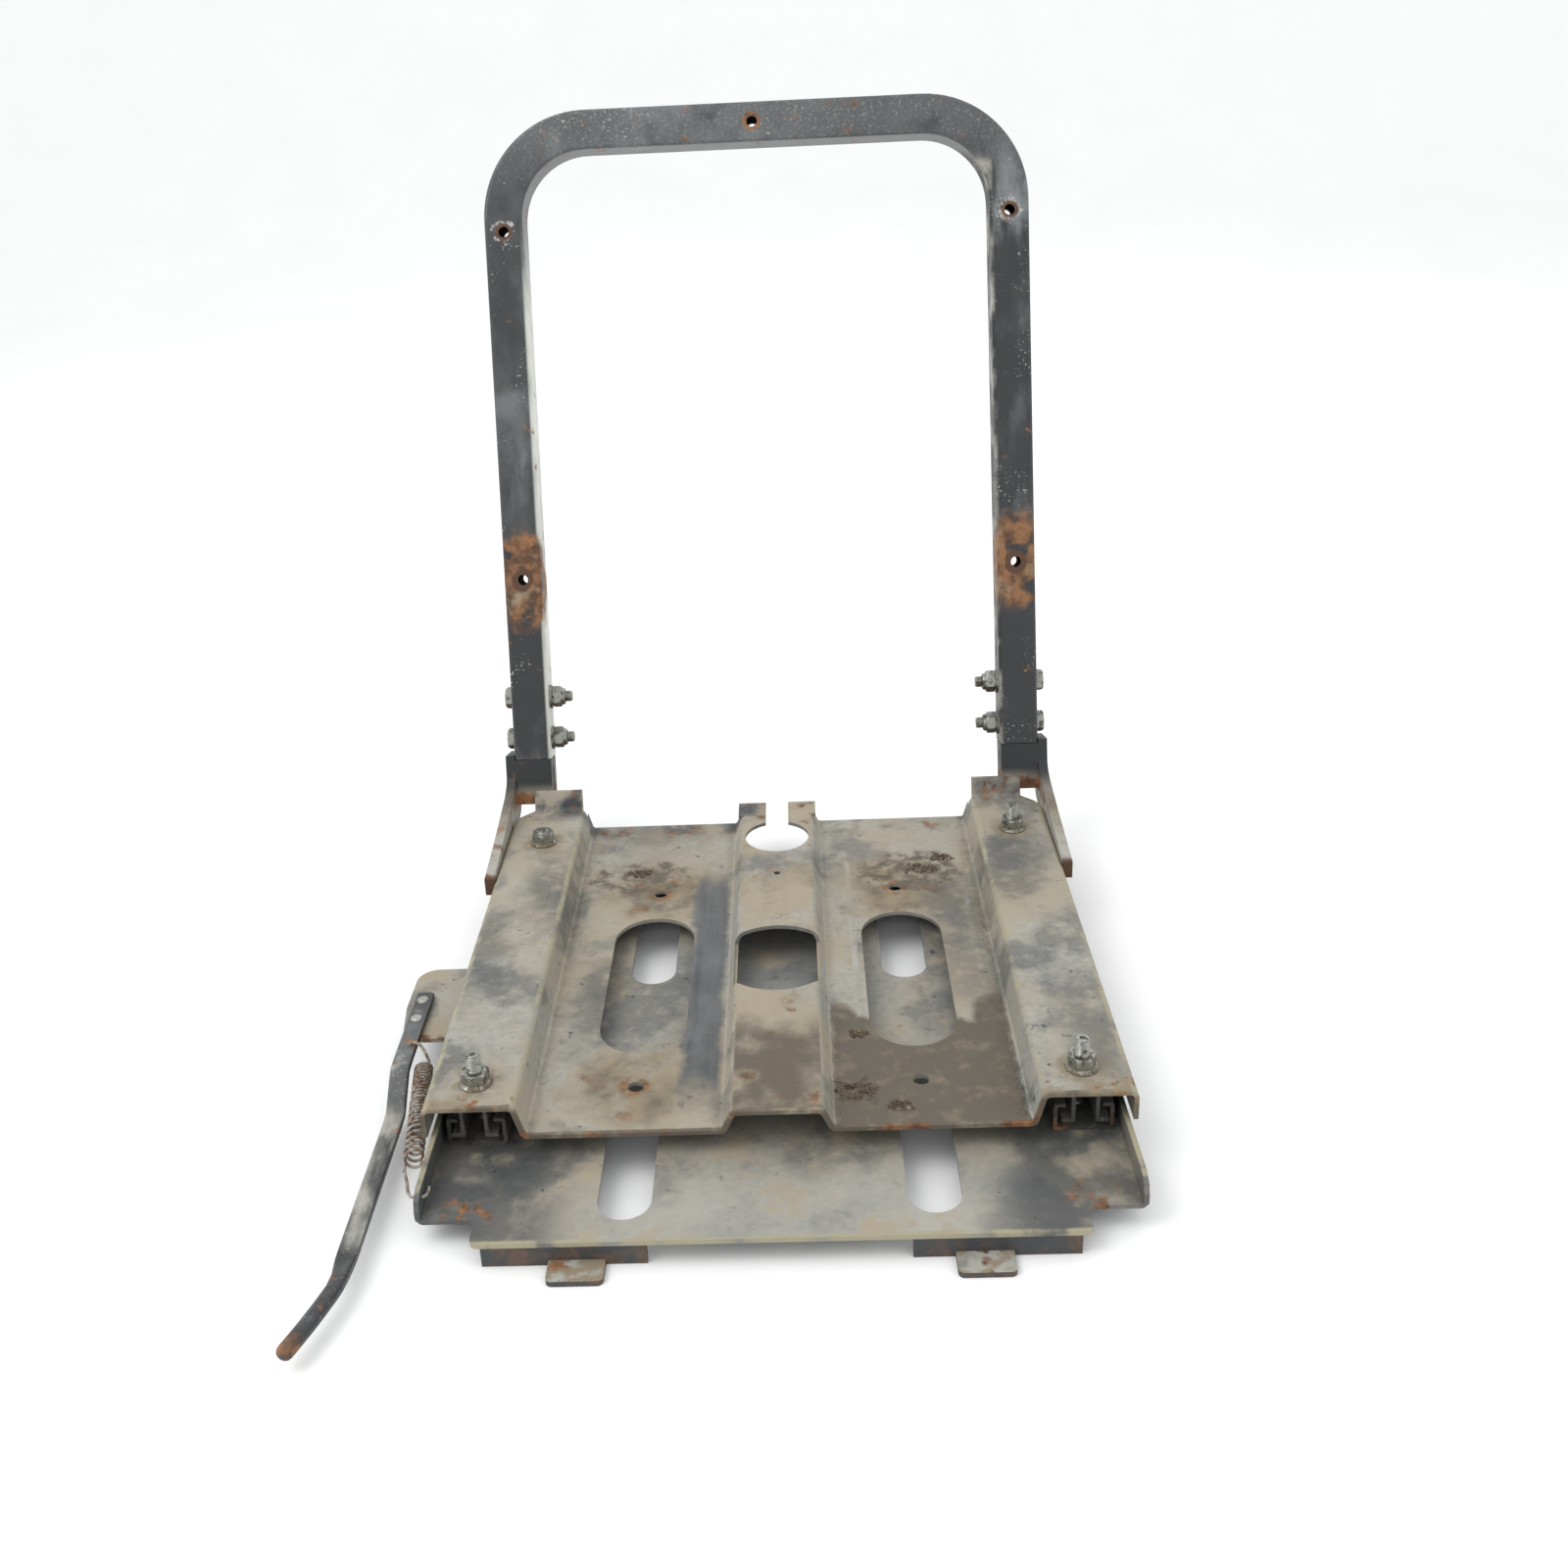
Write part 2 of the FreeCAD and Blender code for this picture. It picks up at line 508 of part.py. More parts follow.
def make_foot(label, side, wall_y, reach_y):
    """An upright wall under the base plate with a narrower foot on the floor."""
    body = new_body(label)
    middle, wall_middle = tongue_mid * side, tongue_wall_mid * side
    wall = new_sketch(body, "XY_Plane")
    box_outline(wall, wall_middle - tongue_wall / 2, wall_middle + tongue_wall / 2,
                wall_y, wall_y + tongue_sheet)
    pad(body, wall, base_top - base_sheet)
    foot = new_sketch(body, "XY_Plane")
    root_y = wall_y + over
    low_y, high_y = (reach_y, root_y) if reach_y.value < wall_y.value else (root_y, reach_y)
    box_outline(foot, middle - tongue_width / 2, middle + tongue_width / 2, low_y, high_y)
    pad(body, foot, tongue_sheet)
    tip = reach_y.value
    fillet(body, tongue_corner,
           lambda edge: runs_along(edge, 2) and abs(edge.CenterOfMass.y - tip) < NEAR)
    return body


def make_lower_rail(label, side):
    """A C channel, open at the top, with lips turned in over the upper rail's feet."""
    body = new_body(label)
    middle = rail_mid * side
    low, high = base_top, base_top + rail_high
    inner, lip = rail_half - rail_sheet, rail_half - rail_lip
    section = new_sketch(body, "XZ_Plane", -rail_front)
    outline(section, [
        (middle - rail_half, low), (middle + rail_half, low), (middle + rail_half, high),
        (middle + lip, high), (middle + lip, high - rail_sheet), (middle + inner, high - rail_sheet),
        (middle + inner, low + rail_sheet), (middle - inner, low + rail_sheet),
        (middle - inner, high - rail_sheet), (middle - lip, high - rail_sheet), (middle - lip, high),
        (middle - rail_half, high),
    ])
    pad(body, section, rail_rear - rail_front, back=True)
    fillet(body, rail_bend, lambda edge: runs_along(edge, 1)
           and abs(abs(edge.CenterOfMass.x - middle.value) - rail_half.value) < NEAR)
    holes = new_sketch(body, "XY_Plane", low + rail_sheet / 2)
    for x, y in rail_rivet_places():
        if x.value * side > 0:
            circle(holes, x, y, rivet_shank + rivet_play)
    pocket(body, holes, rail_sheet * 2, both=True)
    if side == LEFT:
        window = new_sketch(body, "YZ_Plane", -(rail_mid + rail_half))
        box_outline(window, latch_front - latch_room_front, latch_rear + latch_room_rear,
                    latch_low - latch_room, latch_low + latch_sheet + latch_room)
        pocket(body, window, rail_sheet * 2 + over, both=True)
    return body


def make_rail_rivets():
    """Low-headed rivets through the base plate and the lower rails."""
    body = new_body("rail_rivets")
    head_low = new_sketch(body, "XY_Plane", base_top - base_sheet - rivet_foot_high)
    shank = new_sketch(body, "XY_Plane", base_top - base_sheet)
    head_high = new_sketch(body, "XY_Plane", base_top + rail_sheet)
    for x, y in rail_rivet_places():
        circle(head_low, x, y, rivet_foot)
        circle(shank, x, y, rivet_shank)
        circle(head_high, x, y, rivet_head)
    pad(body, head_low, rivet_foot_high)
    pad(body, shank, base_sheet + rail_sheet)
    pad(body, head_high, rivet_head_high)
    return body


def make_lever_pivot():
    """A shouldered pin: foot under the base tab, spacer, journal and head."""
    body = new_body("lever_pivot")
    tab_low = base_top - base_sheet
    collar_top = latch_low - pivot_end_play
    journal = latch_sheet + pivot_end_play * 2
    steps = [
        (tab_low - pivot_end_high, pivot_end_high, pivot_foot), (tab_low, base_sheet, pivot_radius),
        (base_top, collar_top - base_top, pivot_collar), (collar_top, journal, pivot_radius),
        (collar_top + journal, pivot_end_high, pivot_head),
    ]
    for start, length, radius in steps:
        disc = new_sketch(body, "XY_Plane", start)
        circle(disc, -pivot_x, pivot_y, radius)
        pad(body, disc, length)
    return body


# ---- lever: latch plate, bar, rivets, spring ----------------------------------

def lever_rivet_places():
    return [(-bar_mid, bar_rear - lever_rivet_inset), (-bar_mid, bar_rear - lever_rivet_second)]


def make_latch_plate():
    """Flat plate that swings on the pivot; its tooth stands at a notch of the left upper rail."""
    body = new_body("latch_plate")
    bite = rail_mid + foot_half + tooth_gap
    tooth_low, tooth_high = latch_tooth_y - latch_tooth / 2, latch_tooth_y + latch_tooth / 2
    inner, shoulder = rail_mid + rail_half + latch_clear, latch_shoulder
    plan = new_sketch(body, "XY_Plane", latch_low)
    outline(plan, [
        (-latch_outer, latch_rear), (-latch_outer, bar_rear - latch_taper_start),
        (-(latch_outer - latch_taper), latch_front),
        (-inner, latch_front), (-inner, tooth_low), (-bite, tooth_low), (-bite, tooth_high),
        (-inner, tooth_high), (-inner, pivot_y - tab_half), (-(pivot_x - shoulder), pivot_y - shoulder * 3),
        (-(pivot_x - shoulder), pivot_y + shoulder * 2), (-(pivot_x + shoulder * 2), latch_rear),
    ])
    pad(body, plan, latch_sheet)
    fillet(body, latch_corner, lambda edge: stands_at(edge, -latch_outer.value, latch_rear.value))
    fillet(body, tooth_corner,
           lambda edge: runs_along(edge, 2) and edge.CenterOfMass.x > -bite.value - NEAR)
    lug = new_sketch(body, "XY_Plane", latch_low)
    circle(lug, -pivot_x, pivot_y, latch_lug)
    pad(body, lug, latch_sheet)
    holes = new_sketch(body, "XY_Plane", latch_low + latch_sheet + over)
    circle(holes, -pivot_x, pivot_y, pivot_radius + pivot_play)
    for x, y in lever_rivet_places():
        circle(holes, x, y, lever_rivet + rivet_play)
    pocket(body, holes, latch_sheet + over * 2)
    return body


def make_lever_bar():
    """Flat bar that steps down, then a round handle bent outward."""
    body = new_body("lever_bar")
    high = latch_low + latch_sheet
    side_view = new_sketch(body, "YZ_Plane", -(bar_mid + bar_width / 2))
    outline(side_view, [
        (handle_start, bar_low), (bar_step_front - bar_shift, bar_low), (bar_step_rear - bar_shift, high),
        (bar_rear, high), (bar_rear, high + bar_thick), (bar_step_rear + bar_shift, high + bar_thick),
        (bar_step_front + bar_shift, bar_low + bar_thick), (handle_start, bar_low + bar_thick),
    ])
    pad(body, side_view, bar_width)
    step_low, step_high = (bar_step_front - bar_bend).value, (bar_step_rear + bar_bend).value
    fillet(body, bar_bend, lambda edge: runs_along(edge, 0) and step_low < edge.CenterOfMass.y < step_high)
    add_handle(body)
    holes = new_sketch(body, "XY_Plane", high + bar_thick + over)
    circle(holes, -spring_hole_x, spring_hole_y, spring_hole)
    for x, y in lever_rivet_places():
        circle(holes, x, y, lever_rivet + rivet_play)
    pocket(body, holes, bar_thick + over * 2)
    return body


def add_handle(body):
    """Sweep the round handle along a straight run and an outward bend."""
    centre_z = bar_low + bar_thick / 2
    root_y, bend_y = handle_start + handle_root, handle_start - handle_straight
    start, bend, end = [Vector(x.value, y.value, 0) for x, y in (
        (-bar_mid, root_y), (-bar_mid, bend_y), (-(bar_mid + handle_out), handle_end))]
    path = new_sketch(body, "XY_Plane", centre_z)
    run = path.addGeometry(Part.LineSegment(start, bend))
    reach = path.addGeometry(Part.LineSegment(bend, end))
    path.addConstraint(Sketcher.Constraint("Coincident", run, 2, reach, 1))
    pin_point(path, run, 1, -bar_mid, root_y)
    pin_point(path, run, 2, -bar_mid, bend_y)
    pin_point(path, reach, 2, -(bar_mid + handle_out), handle_end)
    section = new_sketch(body, "XZ_Plane", -root_y)
    circle(section, -bar_mid, centre_z, handle_radius)
    handle = body.newObject("PartDesign::AdditivePipe", "handle")
    handle.Profile = section
    handle.Spine = (path, ["Edge1", "Edge2"])
    handle.Transition = "Round corner"
    doc.recompute()


def make_lever_rivets():
    """Two rivets with domed-looking stepped heads that hold the bar on the plate."""
    body = new_body("lever_rivets")
    top = latch_low + latch_sheet + bar_thick
    steps = [
        (latch_low - lever_rivet_foot_high, lever_rivet_foot_high, lever_rivet_head),
        (latch_low, latch_sheet + bar_thick, lever_rivet), (top, lever_rivet_head_high, lever_rivet_head),
        (top + lever_rivet_head_high, lever_rivet_crown_high, lever_rivet_crown),
    ]
    for start, length, radius in steps:
        disc = new_sketch(body, "XY_Plane", start)
        for x, y in lever_rivet_places():
            circle(disc, x, y, radius)
        pad(body, disc, length)
    return body


def spring_ends():
    """Ends of the coil's axis: rear end beside the lever, front end by the flange."""
    rear = Vector(-(spring_hole_x.value - 8.5), spring_hole_y.value - 8, 18.4)
    front = Vector(-(base_half.value + 8), flange_hole_y.value + 27, 19)
    return rear, front


def make_spring():
    """Extension spring as a plain closed solid: coil envelope and two wire hooks."""
    rear, front = spring_ends()
    along = front.sub(rear)
    coil = Part.makeCylinder(coil_radius.value, along.Length, rear, along)
    top = latch_low.value + latch_sheet.value + bar_thick.value
    hole_y, hook_top = spring_hole_y.value, top + 1.6
    lever_hook = [
        rear, Vector(rear.x + 1.5, rear.y + 2.5, hook_top - 6), Vector(rear.x, hole_y - 2, hook_top),
        Vector(-spring_hole_x.value, hole_y, hook_top), Vector(-spring_hole_x.value, hole_y, top - 3),
    ]
    outside = -(base_half.value + 3.5)
    flange_hook = [
        front, Vector(outside - 3, flange_hole_y.value + 10, flange_hole_z.value),
        Vector(outside, flange_hole_y.value, flange_hole_z.value),
        Vector(-(base_half.value - base_sheet.value - 3), flange_hole_y.value, flange_hole_z.value),
    ]
    solid = coil
    for route in (lever_hook, flange_hook):
        for start, end in zip(route, route[1:]):
            run = end.sub(start)
            solid = solid.fuse(Part.makeCylinder(spring_wire.value, run.Length, start, run))
            solid = solid.fuse(Part.makeSphere(spring_wire.value, end))
    feature = doc.addObject("Part::Feature", "lever_spring")
    feature.Label = "lever_spring"
    feature.Shape = solid.removeSplitter()
    feature.Placement = FreeCAD.Placement()
    return feature


# ---- ball cages ----------------------------------------------------------------

def ball_places(side):
    places = []
    for row in (LEFT, RIGHT):
        for step in range(4):
            y = cage_front + ball_inset + (cage_length - ball_inset * 2) * step / 3
            places.append((rail_mid * side + ball_offset * row, y))
    return places


def make_ball_cage(label, side):
    body = new_body(label)
    low = base_top + rail_sheet + cage_low
    plan = new_sketch(body, "XY_Plane", low)
    half = rail_half - rail_sheet - cage_play
    box_outline(plan, rail_mid * side - half, rail_mid * side + half, cage_front, cage_front + cage_length)
    pad(body, plan, cage_sheet)
    holes = new_sketch(body, "XY_Plane", low + cage_sheet + over)
    for x, y in ball_places(side):
        circle(holes, x, y, ball_radius + cage_ball_play)
    pocket(body, holes, cage_sheet + over * 2)
    return body


def make_balls(label, side):
    """Each ball is a half disc turned about its own upright diameter."""
    body = new_body(label)
    centre_z = base_top + rail_sheet + ball_radius + ball_play
    for x, y in ball_places(side):
        profile = new_sketch(body, "XZ_Plane", -y)
        top = Vector(x.value, centre_z.value + ball_radius.value, 0)
        low = Vector(x.value, centre_z.value - ball_radius.value, 0)
        centre = Vector(x.value, centre_z.value, 0)
        bow = Part.ArcOfCircle(Part.Circle(centre, Vector(0, 0, 1), ball_radius.value),
                               -math.pi / 2, math.pi / 2)
        arc = profile.addGeometry(bow)
        line = profile.addGeometry(Part.LineSegment(top, low))
        profile.addConstraint(Sketcher.Constraint("Coincident", arc, 2, line, 1))
        profile.addConstraint(Sketcher.Constraint("Coincident", arc, 1, line, 2))
        pin_point(profile, arc, 3, x, centre_z)
        pin_point(profile, line, 1, x, centre_z + ball_radius)
        ball = body.newObject("PartDesign::Revolution", f"{body.Name}_ball")
        ball.Profile = profile
        ball.ReferenceAxis = (profile, [f"Edge{line + 1}"])
        ball.Angle = 360
    doc.recompute()
    return body


# ---- seat: pan, rails, studs ----------------------------------------------------

def make_seat_pan():
    """One pressed sheet: hat, low field, rib, low field, hat, cut and turned up."""
    body = new_body("seat_pan")
    section = new_sketch(body, "XZ_Plane", -pan_front)
    upper = pan_half_profile(zero)
    under = pan_half_profile(pan_sheet)
    left_upper = [(-x, z) for x, z in upper[::-1]]
    left_under = [(-x, z) for x, z in under[::-1]]
    outline(section, left_upper + upper + under[::-1] + left_under[::-1])
    pad(body, section, pan_rear - pan_front, back=True)
    round_pan_bends(body)
    cut_pan_rear(body)
    for side in (LEFT, RIGHT):
        obround_pocket(body, window_mid * side, window_width, window_front, window_rear, hat_top,
                       pan_through)
    cut_rib_hole(body)
    add_prongs(body)
    for side in (LEFT, RIGHT):
        add_upstand(body, side)
    holes = new_sketch(body, "XY_Plane", hat_top + over)
    for side in (LEFT, RIGHT):
        for y in (cushion_front, cushion_rear):
            circle(holes, cushion_hole_x * side, y, cushion_hole_radius)
        for y in (stud_front, stud_rear):
            circle(holes, rail_mid * side, y, bolt_hole)
    circle(holes, 0, small_hole_y, small_hole_radius)
    pocket(body, holes, pan_through)
    return body


def pan_half_profile(depth):
    """Right half of the pan's section from the middle outward, depth under its top."""
    steep = depth * 0.75
    return [
        (rib_half - steep, rib_top - depth), (low_inner - steep, low_top - depth),
        (low_outer + steep, low_top - depth), (hat_inner + steep, hat_top - depth),
        (half_width - depth, hat_top - depth), (half_width - depth, hat_flange_low),
    ]


def round_pan_bends(body):
    """Round every bend: small inside radius, sheet thickness more outside."""
    inside = bend_inside
    doc.recompute()
    upper = {round(point.value, 2) for point in (rib_half, low_inner, low_outer, hat_inner, half_width)}

    def is_upper(edge):
        return runs_along(edge, 1) and round(abs(edge.CenterOfMass.x), 2) in upper

    def is_bend(edge):
        return is_upper(edge) and edge.CenterOfMass.z > hat_flange_low.value + NEAR

    def is_valley(edge):
        return is_upper(edge) and abs(edge.CenterOfMass.z - low_top.value) < NEAR

    def is_under_ridge(edge):
        ridge = edge.CenterOfMass.z > low_top.value and not is_upper(edge)
        return runs_along(edge, 1) and ridge

    def is_under_valley(edge):
        low = abs(edge.CenterOfMass.z - (low_top.value - pan_sheet.value)) < NEAR
        return runs_along(edge, 1) and low

    fillet(body, pan_sheet + inside, is_bend)
    fillet(body, inside, lambda edge: is_under_ridge(edge) and edge.CenterOfMass.z > low_top.value + 3
           and sharp(edge, body))
    fillet(body, inside, is_valley)
    fillet(body, pan_sheet + inside, is_under_valley)


def sharp(edge, body):
    """True where the two flat faces beside an edge meet at a corner."""
    faces = [face for face in body.Tip.Shape.Faces
             if any(edge.isSame(other) for other in face.Edges)]
    return len(faces) == 2 and all(isinstance(face.Surface, Part.Plane) for face in faces)


def cut_pan_rear(body):
    """Shorten the hats to the leaning upstand and round their outer rear corners."""
    bend_y = upstand_foot()
    for side in (LEFT, RIGHT):
        cut = new_sketch(body, "XY_Plane", hat_top + over)
        start, stop = hat_inner - 1.5, half_width + over
        if side == LEFT:
            box_outline(cut, -stop, -start, bend_y, pan_rear + over)
        else:
            box_outline(cut, start, stop, bend_y, pan_rear + over)
        pocket(body, cut, pan_through)
        corner = new_sketch(body, "XY_Plane", hat_top + over)
        edge_x, past_x = half_width * side, (half_width + over) * side
        inner_x, bulge_x = (half_width - hat_corner) * side, (half_width - hat_corner / 3) * side
        outline(corner, [
            (edge_x, bend_y - hat_corner_long), (bulge_x, bend_y - hat_corner_long / 2),
            (inner_x, bend_y), (inner_x, bend_y + over), (past_x, bend_y + over),
            (past_x, bend_y - hat_corner_long),
        ])
        pocket(body, corner, pan_through)


def cut_rib_hole(body):
    """A round hole with its sides cut straight, through the rib and its walls."""
    disc = new_sketch(body, "XY_Plane", rib_top + over)
    reach = rib_hole_half
    rise = math.sqrt(rib_hole_radius.value ** 2 - rib_hole_half.value ** 2)
    flat = as_size(round(rise, 4))
    angle = math.atan2(rise, rib_hole_half.value)
    centre = Vector(0, rib_hole_mid.value, 0)
    base_circle = Part.Circle(centre, Vector(0, 0, 1), rib_hole_radius.value)
    rear_arc = disc.addGeometry(Part.ArcOfCircle(base_circle, angle, math.pi - angle))
    front_arc = disc.addGeometry(Part.ArcOfCircle(base_circle, math.pi + angle, 2 * math.pi - angle))
    corners = [(reach, rib_hole_mid + flat), (-reach, rib_hole_mid + flat),
               (-reach, rib_hole_mid - flat), (reach, rib_hole_mid - flat)]
    points = [Vector(x.value, y.value, 0) for x, y in corners]
    left = disc.addGeometry(Part.LineSegment(points[1], points[2]))
    right = disc.addGeometry(Part.LineSegment(points[3], points[0]))
    for first, first_end, second, second_end in ((rear_arc, 1, right, 2), (rear_arc, 2, left, 1),
                                                 (front_arc, 1, left, 2), (front_arc, 2, right, 1)):
        disc.addConstraint(Sketcher.Constraint("Coincident", first, first_end, second, second_end))
    for line, point, corner in ((left, 1, 1), (left, 2, 2), (right, 1, 3), (right, 2, 0)):
        pin_point(disc, line, point, *corners[corner])
    for arc in (rear_arc, front_arc):
        constrain(disc, "DistanceY", -1, 1, arc, 3, size=rib_hole_mid)
    pocket(body, disc, rib_cut)


def add_prongs(body):
    """Two prongs behind the rib, with the keyhole and its slot cut between them."""
    prongs = new_sketch(body, "XY_Plane", rib_top - pan_sheet)
    box_outline(prongs, -prong_half, prong_half, pan_rear - prong_root, prong_rear)
    pad(body, prongs, pan_sheet)
    hole = new_sketch(body, "XY_Plane", rib_top + over)
    circle(hole, 0, keyhole_mid, keyhole_radius)
    pocket(body, hole, rib_cut)
    slot = new_sketch(body, "XY_Plane", rib_top + over)
    box_outline(slot, -prong_slot, prong_slot, keyhole_mid, prong_rear + over)
    pocket(body, slot, rib_cut)


def upstand_foot():
    """Y where the hat's top meets the flange that leans along the hoop."""
    return front_of_lean(hat_top - pan_sheet) - pan_sheet


def add_upstand(body, side):
    """The flange turned up behind a hat, lying along the hoop's leaning front plane."""
    low, high = hat_top - pan_sheet, hat_top + upstand_high
    start = hat_inner + over if side == RIGHT else -(half_width - hat_corner)
    wall = new_sketch(body, "YZ_Plane", start)
    back_low, back_high = front_of_lean(low), front_of_lean(high)
    front_low, foot = back_low - pan_sheet, upstand_foot_extra
    outline(wall, [
        (front_low - foot, low), (back_low, low), (back_high, high), (back_high - pan_sheet, high),
        (front_low, low + pan_sheet + foot), (front_low - foot, hat_top),
    ])
    pad(body, wall, half_width - hat_inner - hat_corner - over)


def make_upper_rail(label, side):
    """A hat channel under the pan; the left one's outer foot carries the notches."""
    body = new_body(label)
    middle = rail_mid * side
    foot_low = base_top + rail_sheet + ball_radius * 2 + ball_play * 2
    foot_high = foot_low + rail_sheet
    top = hat_top - pan_sheet
    web_inner = web_half - rail_sheet
    section = new_sketch(body, "XZ_Plane", -upper_front)
    outline(section, [
        (middle - foot_half, foot_low), (middle - web_inner, foot_low),
        (middle - web_inner, top - rail_sheet), (middle + web_inner, top - rail_sheet),
        (middle + web_inner, foot_low), (middle + foot_half, foot_low), (middle + foot_half, foot_high),
        (middle + web_half, foot_high), (middle + web_half, top), (middle - web_half, top),
        (middle - web_half, foot_high), (middle - foot_half, foot_high),
    ])
    pad(body, section, upper_rear - upper_front, back=True)
    holes = new_sketch(body, "XY_Plane", top + over)
    for y in (stud_front, stud_rear):
        circle(holes, middle, y, bolt_hole)
    pocket(body, holes, rail_sheet + over * 2)
    if side == LEFT:
        notches = new_sketch(body, "XY_Plane", foot_high + over)
        edge = -(rail_mid + foot_half)
        for step in NOTCHES:
            y = latch_tooth_y + notch_pitch * step
            box_outline(notches, edge - over, edge + notch_depth, y - notch_width / 2, y + notch_width / 2)
        pocket(body, notches, rail_sheet + over * 2)
    return body


def stud_places():
    return [(rail_mid * side, y) for side in (LEFT, RIGHT) for y in (stud_front, stud_rear)]


def is_short(x, y):
    """True for the left rear stud, which is cut off shorter than the others."""
    return x.value < 0 and y.value > stud_front.value


def make_rail_studs():
    """Square-headed studs, held by the upper rails' webs, standing up through the pan."""
    body = new_body("rail_studs")
    head_top = hat_top - pan_sheet - rail_sheet
    head = new_sketch(body, "XY_Plane", head_top - stud_head_high)
    for x, y in stud_places():
        box_outline(head, x - stud_head_x, x + stud_head_x, y - stud_head_y, y + stud_head_y)
    pad(body, head, stud_head_high)
    for x, y in stud_places():
        shank = new_sketch(body, "XY_Plane", head_top)
        circle(shank, x, y, bolt_radius)
        above = stud_short if is_short(x, y) else stud_tall
        pad(body, shank, hat_top - head_top + above)
    tip = new_sketch(body, "XY_Plane", hat_top + stud_tall)
    for x, y in stud_places():
        if not is_short(x, y):
            circle(tip, x, y, bolt_radius - stud_tip_inset)
    pad(body, tip, stud_tip)
    return body


def make_rail_nuts():
    body = new_body("rail_nuts")
    flange = new_sketch(body, "XY_Plane", hat_top)
    hexes = new_sketch(body, "XY_Plane", hat_top + nut_flange_high)
    bores = new_sketch(body, "XY_Plane", hat_top + nut_flange_high + nut_high + over)
    for x, y in stud_places():
        circle(flange, x, y, nut_flange)
        hexagon(hexes, x, y, hex_flats)
        circle(bores, x, y, bolt_radius + thread_play)
    pad(body, flange, nut_flange_high)
    pad(body, hexes, nut_high)
    pocket(body, bores, nut_flange_high + nut_high + over * 2)
    return body


# ---- backrest: brackets, hoop, fasteners ---------------------------------------

def make_gusset(label, side):
    """Thick side plate from the hat's side up to the hoop's foot."""
    body = new_body(label)
    foot_y = front_of_lean(hoop_foot_z + 2.5)
    corner_y = front_of_lean(hoop_foot_z - 12)
    side_view = new_sketch(body, "YZ_Plane", half_width * side)
    turn_y = corner_y - 4
    outline(side_view, [
        (gusset_front, gusset_front_low), (gusset_front, gusset_front_high),
        (gusset_front + gusset_waist, gusset_waist), (turn_y - 10, gusset_rise),
        (turn_y, gusset_rise_end), (corner_y, hoop_foot_z - 12), (foot_y, hoop_foot_z + 2.5),
        (foot_y + 23, hoop_foot_z - 4), (foot_y + 17, gusset_heel), (foot_y + 4, gusset_heel_low),
        (foot_y - 20, gusset_low), (gusset_front + 20, gusset_low),
    ])
    pad(body, side_view, gusset_thick, back=side == LEFT)
    fillet(body, gusset_bend, lambda edge: runs_along(edge, 0)
           and abs(edge.CenterOfMass.y - turn_y.value) < NEAR and edge.CenterOfMass.z > gusset_waist.value)
    return body


def make_stub(label, side):
    """Bracket channel below the hoop's leg: front wall and inner flange."""
    body = new_body(label)
    outer, inner = half_width * side, (half_width - tube_size) * side
    plan = new_sketch(body, "XY_Plane", -stub_long)
    outline(plan, [
        (outer, 0), (inner, 0), (inner, stub_flange), (inner + stub_sheet * side, stub_flange),
        (inner + stub_sheet * side, stub_sheet), (outer, stub_sheet),
    ])
    pad(body, plan, stub_long - stub_gap)
    opening = new_sketch(body, "YZ_Plane", inner + stub_sheet * side / 2)
    box_outline(opening, stub_slot_near, stub_slot_far, -stub_slot_low, -stub_slot_high)
    pocket(body, opening, stub_sheet * 2, both=True)
    lean_back(body)
    return body


def make_spigot(label, side):
    """Square tube welded in the channel, reaching up inside the hoop's leg."""
    body = new_body(label)
    middle_x = (half_width - tube_size / 2) * side
    middle_y = tube_size / 2
    below = stub_long - spigot_inset
    plan = new_sketch(body, "XY_Plane", -below)
    for half in (spigot_side / 2, spigot_side / 2 - spigot_wall):
        box_outline(plan, middle_x - half, middle_x + half, middle_y - half, middle_y + half)
    pad(body, plan, below + spigot_high)
    bores = new_sketch(body, "YZ_Plane", middle_x)
    for z in hoop_bolt_heights():
        circle(bores, middle_y, z, bolt_hole)
    pocket(body, bores, tube_size * 2, both=True)
    lean_back(body)
    return body


def hoop_path(body):
    """Middle line of the hoop: leg, bend, top bar, bend, leg."""
    leg_x = half_width - tube_size / 2
    top_z = hoop_long - tube_size / 2
    bend = hoop_corner - tube_size / 2
    path = new_sketch(body, "XZ_Plane", -(tube_size / 2))
    runs = [((-leg_x, zero), (-leg_x, top_z - bend)), ((-leg_x + bend, top_z), (leg_x - bend, top_z)),
            ((leg_x, top_z - bend), (leg_x, zero))]
    lines = []
    for start, end in runs:
        points = [Vector(x.value, z.value, 0) for x, z in (start, end)]
        line = path.addGeometry(Part.LineSegment(*points))
        pin_point(path, line, 1, *start)
        pin_point(path, line, 2, *end)
        lines.append(line)
    for side, before, after in ((LEFT, lines[0], lines[1]), (RIGHT, lines[1], lines[2])):
        centre_x = (leg_x - bend) * side
        centre = Vector(centre_x.value, (top_z - bend).value, 0)
        quarter = (math.pi / 2, math.pi) if side == LEFT else (0, math.pi / 2)
        arc = path.addGeometry(Part.ArcOfCircle(Part.Circle(centre, Vector(0, 0, 1), bend.value), *quarter))
        path.addConstraint(Sketcher.Constraint("Coincident", before, 2, arc, 2))
        path.addConstraint(Sketcher.Constraint("Coincident", after, 1, arc, 1))
        constrain(path, "DistanceX", -1, 1, arc, 3, size=centre_x)
    return path


